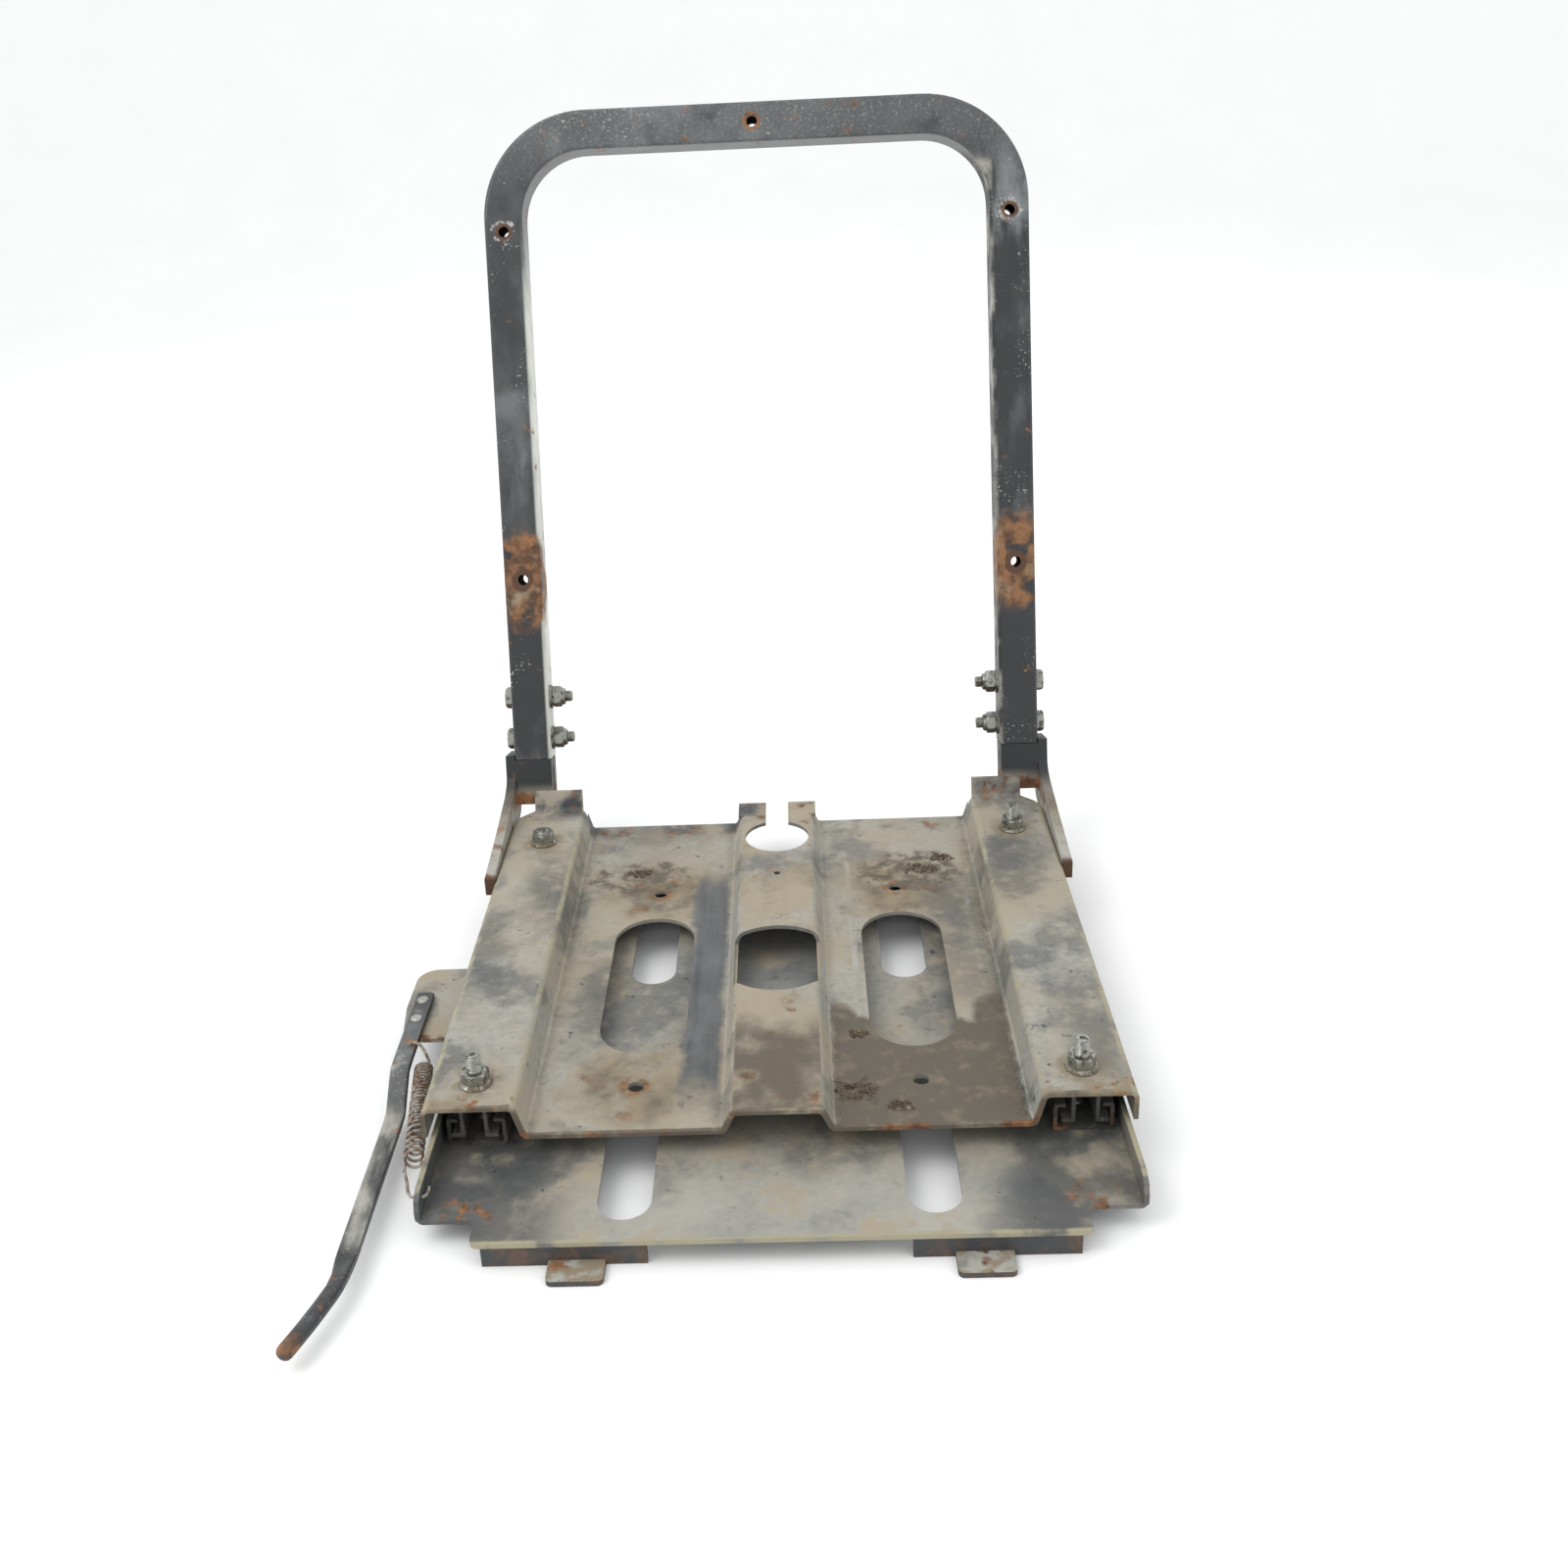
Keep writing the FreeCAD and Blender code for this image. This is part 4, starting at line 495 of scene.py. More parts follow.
def add_hole_stains(finish, colours, low_field):
    """Mud and rust round the cushion holes, which sit in shallow dimples."""
    holes = [(HOLE_MID * side, row, FIELD_TOP) for side in (LEFT, RIGHT) for row in HOLE_ROWS]
    uneven = {"ragged": 0.034, "stretch": (0.9, 0.8, 0), "grain": 60}
    around = finish.spots(holes, 0.027, fade=0.012, **uneven)
    stains = finish.both(around, low_field)
    finish.layer(finish.broken(stains, 48, 0.20, 0.55, 8), colours.tan, 0.92)
    finish.layer(finish.broken(stains, 52, 0.40, 0.68, 9), colours.mud, 0.92, share=0.8)
    rims = finish.both(finish.spots(holes, 0.034, fade=0.005, **uneven),
                       finish.sum_of((around, -1.0), start=1.0), low_field)
    finish.layer(rims, colours.warm_dust, 0.9, share=0.6)
    dimples = finish.spots(holes, 0.016, fade=0.012, ragged=0.0, stretch=IN_PLAN)
    finish.raise_by(finish.both(dimples, low_field), -1.4 * MM)
    rings = finish.spots(holes, 0.0080, fade=0.003, ragged=0.008, stretch=IN_PLAN)
    finish.layer(finish.broken(finish.both(rings, low_field), 140, 0.35, 0.6), finish.rust_colour, 0.9)
    finish.layer(finish.broken(stains, 70, 0.56, 0.70, 7), finish.rust_colour, 0.9, share=0.8)


def add_bare_band(finish, colours, low_field):
    """A band of rubbed paint on the left field, beside the rib."""
    band = finish.both(finish.strip(finish.x, -0.0400, 0.0105, 0.003, 0.014, 45),
                       finish.strip(finish.y, 0.205, 0.110, 0.020, 0.060, 40), low_field)
    streaks = finish.weather(30, 700, (4.0, 0.25, 1))["Streaks"]
    finish.layer(finish.both(band, finish.sum_of((streaks, 0.1), start=0.9)), colours.paint, 0.40)
    finish.layer(finish.broken(band, 38, 0.40, 0.80, 6), colours.haze_and_sheen, 0.6, share=0.5)


def add_rubbed_paint(finish, colours):
    """Places where the dust is rubbed off the dark paint: two on each hat, one on each field."""
    places = [(x * MM, y * MM, 0) for x, y in
              ((-140, 278), (-173, 207), (142, 295), (170, 120), (-104, 177), (112, 262))]
    wide = finish.spots(places, 0.026, fade=0.014, ragged=0.075, stretch=(1.5, 0.6, 0), grain=38)
    finish.layer(finish.broken(wide, 75, 0.22, 0.52, 9), colours.paint, 0.5, share=0.6)


def add_damp_mud(finish, colours, low_field):
    """Damp mud at the front right and a thinner heap of it at the rear of each field."""
    field = finish.both(finish.step(finish.x, 0.020, 0.024),
                        finish.strip(finish.y, 0.100, 0.050, 0.004, 0.045, 38))
    right = finish.spot((0.119, 0.150, 0), 0.020, ragged=0.016, stretch=(1.6, 0.8, 0), grain=60)
    left = finish.spot((0.034, 0.150, 0), 0.016, ragged=0.014, stretch=(1.5, 0.9, 0), grain=60)
    thin = finish.either(*[
        finish.spot((x, 0.318, 0), radius, ragged=radius, stretch=(0.7, 1, 0), grain=90)
        for x, radius in ((0.084, 0.024), (-0.088, 0.022))
    ])
    mud = finish.both(finish.either(field, right, left), low_field)
    finish.layer(finish.broken(finish.both(thin, low_field), 130, 0.40, 0.62, 7), colours.mud, 0.9)
    finish.layer(mud, colours.mud, 0.72)
    finish.layer(finish.broken(mud, 75, 0.5, 0.72), colours.tan, 0.9, share=0.6)
    clods = noise_of(finish.tree, finish.where, 420, 6, 0.65)
    finish.raise_by(finish.both(mud, clods), 1.0 * MM)
    finish.raise_by(mud, 0.6 * MM)


def add_rib_dirt(finish, colours, across, flat):
    """Dried mud, rust spots and a pressed mark on the centre rib."""
    rib = finish.both(finish.step(across, RIB_HALF + 2 * MM, RIB_HALF - 2 * MM), flat)
    finish.layer(finish.broken(rib, 24, 0.32, 0.58, 9), colours.warm_dust, 0.9)
    finish.layer(finish.broken(rib, 30, 0.48, 0.66, 9), colours.tan, 0.9)
    finish.layer(finish.broken(rib, 60, 0.58, 0.70, 7), finish.rust_colour, 0.9)
    front = finish.both(rib, finish.step(finish.y, 0.155, 0.120))
    finish.layer(finish.broken(front, 36, 0.3, 0.6), colours.mud, 0.85)
    boss = finish.spot((0, 0.247, 0), 0.0028, fade=0.0012, ragged=0.0006, stretch=IN_PLAN)
    finish.raise_by(finish.both(boss, rib), 1.0 * MM)
    slant = math_of(finish.tree, "MULTIPLY_ADD", across, -0.9, finish.y)
    creases = finish.either(finish.strip(slant, 0.243, 0.0012, 0.0030, 0.002),
                            finish.strip(across, 0.0062, 0.0010, 0.0028, 0.002))
    mark = finish.both(creases, rib, finish.spot((0, 0.272, 0), 0.031, stretch=(1.5, 1, 0)))
    finish.raise_by(mark, -0.8 * MM)
    finish.layer(finish.broken(mark, 60, 0.50, 0.80, 7), colours.tan, 0.9, share=0.6)


def add_pan_rust(finish, colours, across):
    """Rust and worn metal along the front edge, at the rear, round the studs and on the bends."""
    front = finish.strip(finish.y, PAN_FRONT, 0.0022, 0.0008, 0.002)
    finish.layer(front, colours.mud, 0.8)
    finish.layer(finish.broken(front, 70, 0.50, 0.85), colours.worn, 0.8)
    finish.layer(finish.broken(front, 60, 0.56, 0.66), finish.rust_colour, 0.9)
    band = finish.both(finish.strip(finish.y, PAN_FRONT, 0.012, 0.005, 0.012, 60),
                       finish.step(finish.z, 0.040, 0.0435))
    finish.layer(finish.broken(band, 80, 0.40, 0.62, 7), colours.tan, 0.9)
    finish.layer(finish.broken(band, 130, 0.54, 0.66, 7), finish.rust_colour, 0.9)
    rear = finish.broken(finish.step(finish.y, 0.362, 0.384), 40, 0.42, 0.60)
    finish.layer(finish.broken(rear, 26, 0.40, 0.60, 8), colours.paint, 0.6)
    finish.layer(finish.broken(rear, 95, 0.54, 0.66, 7), finish.rust_colour, 0.92)
    studs = [(RAIL_MID * side, y, HAT_TOP) for side in (LEFT, RIGHT) for y in (STUD_FRONT, STUD_REAR)]
    rings = finish.spots(studs, 0.0135, fade=0.004, ragged=0.008, stretch=IN_PLAN)
    finish.layer(finish.broken(rings, 180, 0.35, 0.6), colours.tan, 0.9)
    bends = finish.either(*[finish.strip(across, middle, half, 0.001, 0.002) for middle, half in HAT_BENDS])
    bends = finish.both(bends, finish.step(finish.z, 0.0395, 0.0425))
    finish.layer(finish.broken(bends, 60, 0.40, 0.6), colours.worn, 0.7)
    finish.raise_by(finish.both(front, finish.rust_height), 0.3 * MM)


def base_finish(colours):
    """Dusty base plate: darker at its sides, worn along its edges, rusty at its front corners."""
    finish, _ = paint_with_dust("base_paint", colours, 22, dusty=0.8)
    across = finish.across()
    shaded = finish.spot((0, 0.215, 0), 0.060, fade=0.020, ragged=0.03, stretch=(1.4, 1, 0), grain=40)
    finish.layer(shaded, colours.haze_and_sheen, 0.5, share=0.45)
    sides = finish.broken(finish.step(across, 0.085, 0.125), 26, 0.30, 0.5, 6)
    finish.layer(sides, colours.paint, 0.45, share=0.75)
    centre = finish.both(finish.step(finish.y, 0.062, 0.010), finish.step(across, 0.12, 0.07))
    finish.layer(finish.broken(centre, 20, 0.25, 0.7, 9), colours.dust, 0.85)
    edges = finish.either(finish.strip(finish.y, 0.0, 0.0022, 0.001, 0.002),
                          finish.strip(finish.z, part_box("base_plate")[1].z, 0.0012, 0.0005, 0.001))
    finish.layer(finish.broken(edges, 60, 0.3, 0.55), colours.worn, 0.7)
    corners = [(0.150 * side, 0.022, 0) for side in (LEFT, RIGHT)]
    corners = finish.spots(corners, 0.016, ragged=0.02, stretch=IN_PLAN)
    finish.layer(finish.broken(corners, 120, 0.52, 0.64, 7), finish.rust_colour, 0.9)
    finish.layer(finish.broken(finish.step(finish.up, 0.5, 0.9), 42, 0.52, 0.72, 9), colours.warm_dust, 0.9)
    return finish.done()


def tongue_finish(colours):
    """Rusty paint on the tongues and feet, with dust and mud on what faces up."""
    finish = Finish("tongue_rust", colours.paint, 0.6)
    dirt = finish.weather(60, 900)
    top = finish.step(finish.up, 0.4, 0.9)
    rusty = finish.both(dirt["Patches"], finish.sum_of((top, 0.6), start=0.4))
    finish.layer(rusty, finish.rust_colour, 0.9)
    finish.layer(finish.broken(top, 60, 0.15, 0.45), colours.dust, 0.9)
    finish.layer(finish.broken(top, 110, 0.42, 0.60, 7), colours.tan, 0.9)
    finish.layer(finish.broken(top, 90, 0.56, 0.66, 7), finish.rust_colour, 0.9)
    finish.raise_by(finish.rust_height, 0.0003)
    return finish.done()


def rail_finish(colours):
    finish, _ = paint_with_dust("rail_paint", colours, 60, dusty=0.18, paint=colours.hoop_paint)
    grime = finish.noise(45, 0.58, 0.70)
    finish.layer(grime, finish.rust_colour, 0.9)
    finish.raise_by(finish.both(grime, finish.rust_height), 0.0002)
    return finish.done()


def hoop_finish(colours):
    """Satin paint with painted sheen on the upper left leg and the top, dust along the top, a painted
    highlight on the left leg's inner face and painted shade on the right's, rusted round the lower holes,
    torn at the upper.
    """
    finish = Finish("hoop_paint", colours.hoop_paint, 0.38, coat=0.15)
    dirt = finish.weather(16, 620, (1, 1, 0.25))
    high = finish.step(finish.z, 0.16, 0.30)
    left = finish.step(finish.x, 0.04, -0.10)
    # Painted reflection: the upper left leg and the top bar are lightened with the haze colour to stand for
    # the sheen of the satin paint.
    film = finish.both(high, finish.either(left, finish.step(finish.z, 0.42, 0.46)))
    painted_sheen = finish.broken(finish.both(film, finish.noise(9, 0.25, 0.8)), 70, 0.1, 0.7, 7)
    finish.layer(painted_sheen, colours.haze_and_sheen, 0.5, share=0.45)
    finish.layer(finish.broken(dirt["Streaks"], 11, 0.45, 0.75), colours.haze_and_sheen, 0.55)
    top = finish.step(finish.z, 0.43, 0.475)
    # On the top bar: a painted reflection in the haze colour, then real dust specks and patches of bare
    # paint.
    finish.layer(finish.broken(top, 16, 0.20, 0.55, 8), colours.haze_and_sheen, 0.7, share=0.32)
    finish.layer(finish.broken(top, 600, 0.50, 0.78, 5), colours.dust, 0.8, share=0.5)
    finish.layer(finish.broken(top, 18, 0.55, 0.72), colours.hoop_paint, 0.4)
    # Inner faces of the legs: a painted highlight makes the left one pale, and painted shade takes the right
    # one back to dark hoop paint with a little dust.
    inner = finish.both(finish.step(finish.across(), 0.1545, 0.1525), finish.step(finish.z, 0.45, 0.44))
    lit_left_inner = finish.both(inner, finish.noise(26, 0.05, 0.6, 7), left,
                             finish.step(finish.z, 0.425, 0.360))
    finish.layer(lit_left_inner, colours.painted_highlight, 0.6)
    shaded_right_inner = finish.both(inner, finish.step(finish.x, 0.0, 0.1))
    finish.layer(shaded_right_inner, colours.hoop_paint, 0.85)
    finish.layer(finish.broken(shaded_right_inner, 40, 0.40, 0.70, 7), colours.dust, 0.85)
    finish.layer(finish.broken(dirt["Specks"], 30, 0.5, 0.6), colours.dust, 0.7)
    add_hoop_holes(finish, colours)
    finish.layer(finish.broken(finish.noise(85, 0.64, 0.68), 24, 0.4, 0.6), finish.rust_colour, 0.85)
    finish.raise_by(dirt["Grain"], 0.03 * MM)
    return finish.done()


def add_hoop_holes(finish, colours):
    """Rust spread round the legs' lower holes, torn bright rings at the upper, rust in the top one."""
    leg = HOOP_OUTSIDE - TUBE / 2
    for side in (LEFT, RIGHT):
        low_hole, high_hole = on_hoop(leg * side, 0, LOW_HOLE), on_hoop(leg * side, 0, HIGH_HOLE)
        spread = finish.spot(low_hole, 0.025, fade=0.004, ragged=0.022, stretch=(1.15, 0.9, 0.75), grain=70)
        finish.layer(spread, finish.rust_colour, 0.95)
        finish.layer(finish.broken(spread, 62, 0.54, 0.70, 8), colours.warm_dust, 0.95, share=0.6)
        finish.layer(finish.broken(spread, 48, 0.54, 0.64, 8), colours.hoop_paint, 0.6)
        finish.layer(finish.spot(low_hole, 0.0075, fade=0.001, ragged=0.005), colours.dark_rust, 0.9)
        finish.raise_by(finish.both(spread, finish.rust_height), 0.6 * MM)
        torn = finish.spot(high_hole, 0.0072, fade=0.001, ragged=0.013, grain=260)
        finish.layer(finish.broken(torn, 320, 0.40, 0.60), colours.steel, 0.45)
        finish.layer(finish.spot(high_hole, 0.0056, fade=0.0008, ragged=0.004), colours.dark_rust, 0.8)
    top_hole = finish.spot(on_hoop(0, 0, TOP_HOLE), 0.0060, fade=0.001, ragged=0.004)
    finish.layer(top_hole, finish.rust_colour, 0.9)


def bracket_finish(colours):
    """Paint that has rusted at the welds and along the gussets' front ends."""
    finish = Finish("bracket_paint", colours.hoop_paint, 0.5)
    dirt = finish.weather(34, 800)
    low = finish.step(finish.z, 0.062, 0.046)
    finish.layer(finish.broken(low, 38, 0.20, 0.45, 6), colours.tan, 0.9)
    finish.layer(finish.broken(low, 30, 0.30, 0.55, 8), colours.dust, 0.9)
    rusty = finish.both(finish.either(low, finish.noise(22, 0.56, 0.66)), dirt["Patches"])
    finish.layer(finish.broken(rusty, 75, 0.46, 0.62, 7), finish.rust_colour, 0.92)
    cut_end = finish.step(finish.y, 0.296, 0.290)
    finish.layer(cut_end, colours.dark_rust, 0.9)
    weld = finish.both(finish.strip(finish.z, 0.050, 0.005, 0.002, 0.006),
                       finish.step(finish.y, 0.37, 0.385))
    finish.layer(weld, finish.rust_colour, 0.95)
    finish.raise_by(finish.rust_height, 0.00035)
    return finish.done()


def lever_finish(colours):
    """Dusty satin paint on the bar, worn brown end on the handle."""
    finish = Finish("lever_paint", colours.hoop_paint, 0.42, coat=0.1)
    dirt = finish.weather(40, 900, (1, 0.3, 1))
    top = finish.step(finish.up, 0.3, 0.9)
    stretch = finish.both(finish.step(finish.y, 0.108, 0.095), finish.step(finish.y, -0.004, 0.010), top)
    finish.layer(finish.both(stretch, dirt["Streaks"]), colours.dust, 0.8)
    finish.layer(finish.broken(top, 26, 0.42, 0.80, 8), colours.haze_and_sheen, 0.6)
    finish.layer(finish.broken(top, 60, 0.56, 0.80, 8), colours.dust, 0.8)
    finish.layer(finish.broken(dirt["Specks"], 60), colours.worn, 0.6)
    end = finish.broken(finish.step(finish.y, -0.050, -0.058), 200, 0.25, 0.6)
    finish.layer(end, finish.rust_colour, 0.85)
    finish.layer(finish.broken(finish.noise(75, 0.60, 0.66), 20), finish.rust_colour, 0.85)
    finish.raise_by(dirt["Grain"], 0.00005)
    return finish.done()


def latch_finish(colours):
    finish, _ = paint_with_dust("latch_paint", colours, 30, dusty=1.3, paint=colours.hoop_paint)
    edge = finish.strip(finish.y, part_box("latch_plate")[0].y, 0.004, 0.001, 0.004)
    finish.layer(finish.broken(edge, 120, 0.4, 0.6), finish.rust_colour, 0.9)
    return finish.done()


def spring_finish(colours):
    finish = Finish("spring_rust", colours.dust, 0.6, metallic=0.2)
    finish.layer(finish.noise(420, 0.38, 0.64, 5), finish.rust_colour, 0.88)
    finish.raise_by(finish.rust_height, 0.00012)
    return finish.done()


def zinc_finish(colours):
    """Pale zinc plating, dulled white, with dirt and rust in the threads and corners, and painted shade on
    the faces that look down.
    """
    finish = Finish("zinc_plating", colours.zinc, 0.32, metallic=0.9)
    dirt = finish.weather(110, 1200)
    finish.layer(dirt["Patches"], colours.dust, 0.7, share=0.35)
    finish.layer(finish.noise(300, 0.52, 0.66), colours.mud, 0.8)
    # Painted shade: faces that look down are darkened to the mud colour.
    finish.layer(finish.step(finish.up, 0.1, -0.4), colours.mud, 0.7)
    foot = finish.broken(finish.step(finish.z, HAT_TOP + 0.0035, HAT_TOP + 0.001), 240, 0.35, 0.6)
    finish.layer(foot, colours.tan, 0.9)
    finish.layer(finish.broken(dirt["Specks"], 90), finish.rust_colour, 0.85)
    finish.raise_by(dirt["Grain"], 0.00004)
    return finish.done()


def steel_finish(colours, name="dull_steel", shine=0.38):
    finish = Finish(name, colours.steel, shine, metallic=0.8)
    dirt = finish.weather(120, 1100)
    finish.layer(finish.broken(dirt["Patches"], 60), colours.dust, 0.7)
    finish.layer(finish.noise(210, 0.60, 0.70), finish.rust_colour, 0.85)
    finish.raise_by(dirt["Grain"], 0.00003)
    return finish.done()


def soil_finish(colours):
    finish = Finish("soil", colours.mud, 0.95)
    finish.layer(finish.noise(500, 0.4, 0.6), colours.dark_rust, 0.95)
    finish.layer(finish.noise(260, 0.52, 0.66), colours.tan, 0.95)
    finish.raise_by(finish.rust_height, 0.0003)
    return finish.done()


def floor_finish():
    finish = Finish("pale_floor", (0.94, 0.94, 0.925), 0.7)
    finish.layer(finish.noise(6, 0.3, 0.7), (0.96, 0.96, 0.95), 0.65)
    return finish.done()


def put_on(material, *nodes):
    """Give CAD pieces this finish in place of their plain one."""
    for name in nodes:
        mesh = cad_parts[name].data
        mesh.materials.clear()
        mesh.materials.append(material)


def pair(name):
    return f"{name}_left", f"{name}_right"


# ---- mesh helpers -----------------------------------------------------------------

def smooth_sharply(mesh, degrees=32):
    """Shade smooth, but keep edges sharper than the angle."""
    mesh.shade_smooth()
    mesh.set_sharp_from_angle(angle=math.radians(degrees))


def new_piece(name, points, faces):
    mesh = bpy.data.meshes.new(name)
    mesh.from_pydata(points, [], faces)
    mesh.validate()
    piece = bpy.data.objects.new(name, mesh)
    bpy.context.scene.collection.objects.link(piece)
    return piece


def finish_piece(piece, material, body, slot, *stands_for):
    """Give a made piece its finish, its body and the CAD pieces that it stands for."""
    piece.data.materials.clear()
    piece.data.materials.append(material)
    smooth_sharply(piece.data)
    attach(piece, body)
    if stands_for:
        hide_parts(*stands_for)
    return piece


def ring_faces(rings, segments, closed):
    """Quads between rings of points; closed joins the last ring to the first."""
    faces = []
    last = rings if closed else rings - 1
    for ring in range(last):
        low, high = ring * segments, (ring + 1) % rings * segments
        for step in range(segments):
            following = (step + 1) % segments
            faces.append((low + step, low + following, high + following, high + step))
    if not closed:
        faces.append(tuple(range(segments - 1, -1, -1)))
        faces.append(tuple((rings - 1) * segments + step for step in range(segments)))
    return faces


def turned(stations, segments=48, closed=False):
    """Points and faces of a shape turned about Z: each station is (radius, height).

    Either may be a function of the angle. A closed shape returns to its first station.
    """
    points = []
    for radius, height in stations:
        for step in range(segments):
            angle = 2 * math.pi * step / segments
            out = radius(angle) if callable(radius) else radius
            up = height(angle) if callable(height) else height
            points.append((out * math.cos(angle), out * math.sin(angle), up))
    return points, ring_faces(len(stations), segments, closed)


def merged(*parts):
    """Several (points, faces) pairs as one."""
    points, faces = [], []
    for part_points, part_faces in parts:
        start = len(points)
        points += part_points
        faces += [tuple(corner + start for corner in face) for face in part_faces]
    return points, faces


def hexagon(flats):
    """Radius of a hexagon at an angle, by its size across the flats."""
    sixth = math.pi / 3

    def radius(angle):
        return flats / 2 / math.cos((angle + sixth / 2) % sixth - sixth / 2)

    return radius


def chamfered(flats, inset):
    """A hexagon's radius, held back to a circle a little inside its corners."""
    corner = hexagon(flats)
    return lambda angle: min(corner(angle), flats / 2 * (1 + inset))


def hex_stations(flats, low, high, both_ends=False):
    """Stations of a hexagon prism whose corners are turned off at its ends."""
    inset, drop = 0.155, 0.093 * flats
    shares = (1, 0.66, 0.33, 0)
    ends = [(chamfered(flats, inset * share), high - drop * share) for share in shares]
    start = [(hexagon(flats), low)]
    if both_ends:
        start = [(chamfered(flats, inset * share), low + drop * share) for share in reversed(shares)]
    return start + ends


def threaded(radius, depth, pitch, low, high, segments=48, end=0.9 * MM):
    """Stations of a right-hand thread that fades out at its top."""
    steps = max(8, int((high - low) / pitch * 8))
    stations = []
    for count in range(steps + 1):
        height = low + (high - low) * count / steps

        def radius_at(angle, height=height):
            phase = (height / pitch - angle / (2 * math.pi)) % 1
            ridge = abs(phase * 2 - 1)
            fade = min(1, max(0, (high - height) / end))
            return radius - depth * (1 - ridge) - (1 - fade) * depth * 0.9

        stations.append((radius_at, height))
    return stations


# ---- geometry node trees ----------------------------------------------------------

def geometry_tree(name, **inputs):
    return new_group(name, "GeometryNodeTree", {"Geometry": "Geometry"},
                     Geometry="Geometry", **inputs, Finish="Material")


def end_tree(tree, given, out, geometry):
    """Realize the copies, set their finish and put them out."""
    real = add_node(tree, "GeometryNodeRealizeInstances", {"Geometry": geometry}).outputs[0]
    painted = add_node(tree, "GeometryNodeSetMaterial", {"Geometry": real, "Material": given["Finish"]})
    tree.links.new(painted.outputs[0], out["Geometry"])


def build_copies_tree():
    """A copy of a pattern object at each point, turned by the point's own 'turn'."""
    tree, given, out = geometry_tree("copies_at_points", Pattern="Object")
    pattern = add_node(tree, "GeometryNodeObjectInfo", {"Object": given["Pattern"]})
    turn = add_node(tree, "GeometryNodeInputNamedAttribute", {"Name": "turn"}, data_type="FLOAT_VECTOR")
    placed = add_node(tree, "GeometryNodeInstanceOnPoints", {
        "Points": given["Geometry"], "Instance": pattern.outputs["Geometry"], "Rotation": turn.outputs[0]})
    end_tree(tree, given, out, placed.outputs[0])
    return tree


def build_coil_tree():
    """A wound wire along Z, close at first and open at its end, moved and turned into place."""
    tree, given, out = geometry_tree("wound_spring", Wire=0.001, Coil=0.005, Turns=20.0, Close_Share=0.8,
                                     Close_Length=0.05, Open_Length=0.02, Start="Vector",
                                     Direction="Vector", Points=400)
    line = add_node(tree, "GeometryNodeCurvePrimitiveLine")
    fine = add_node(tree, "GeometryNodeResampleCurve", {"Curve": line.outputs[0], "Count": given["Points"]})
    along = add_node(tree, "GeometryNodeSplineParameter").outputs["Factor"]
    angle = math_of(tree, "MULTIPLY", math_of(tree, "MULTIPLY", along, given["Turns"]), 2 * math.pi)
    close = math_of(tree, "MINIMUM", along, given["Close Share"])
    close = math_of(tree, "DIVIDE", close, given["Close Share"])
    past = math_of(tree, "MAXIMUM", math_of(tree, "SUBTRACT", along, given["Close Share"]), 0.0)
    opened = math_of(tree, "DIVIDE", past, math_of(tree, "SUBTRACT", 1.0, given["Close Share"]))
    height = math_of(tree, "MULTIPLY_ADD", close, given["Close Length"],
                     math_of(tree, "MULTIPLY", opened, given["Open Length"]))
    across = math_of(tree, "MULTIPLY", math_of(tree, "COSINE", angle), given["Coil"])
    aside = math_of(tree, "MULTIPLY", math_of(tree, "SINE", angle), given["Coil"])
    place = add_node(tree, "ShaderNodeCombineXYZ", {0: across, 1: aside, 2: height}).outputs[0]
    wound = add_node(tree, "GeometryNodeSetPosition", {"Geometry": fine.outputs[0], "Position": place})
    section = add_node(tree, "GeometryNodeCurvePrimitiveCircle", {"Radius": given["Wire"], "Resolution": 10})
    wire = add_node(tree, "GeometryNodeCurveToMesh", {
        "Curve": wound.outputs[0], "Profile Curve": section.outputs[0], "Fill Caps": True})
    facing = add_node(tree, "FunctionNodeAlignRotationToVector", {"Vector": given["Direction"]}, axis="Z")
    placed = add_node(tree, "GeometryNodeTransform", {
        "Geometry": wire.outputs[0], "Translation": given["Start"], "Rotation": facing.outputs[0]})
    end_tree(tree, given, out, placed.outputs[0])
    return tree


def build_scatter_tree():
    """Crumbs scattered over the given faces, each a lump of its own size and turn."""
    tree, given, out = geometry_tree("scattered_crumbs", Amount=1000.0, Smallest=0.3, Largest=1.0,
                                     Crumb="Object", Seed=3)
    spread = add_node(tree, "GeometryNodeDistributePointsOnFaces", {
        "Mesh": given["Geometry"], "Density": given["Amount"], "Seed": given["Seed"]})
    crumb = add_node(tree, "GeometryNodeObjectInfo", {"Object": given["Crumb"]})
    turn = add_node(tree, "FunctionNodeRandomValue", {
        0: (0, 0, 0), 1: (math.tau, math.tau, math.tau), "Seed": given["Seed"]}, data_type="FLOAT_VECTOR")
    size = add_node(tree, "FunctionNodeRandomValue", {
        2: given["Smallest"], 3: given["Largest"], "Seed": given["Seed"]}, data_type="FLOAT")
    placed = add_node(tree, "GeometryNodeInstanceOnPoints", {
        "Points": spread.outputs["Points"], "Instance": crumb.outputs["Geometry"],
        "Rotation": turn.outputs[0], "Scale": size.outputs[1]})
    end_tree(tree, given, out, placed.outputs[0])
    return tree


TREE_BUILDERS = {
    "copies_at_points": build_copies_tree,
    "wound_spring": build_coil_tree,
    "scattered_crumbs": build_scatter_tree,
}


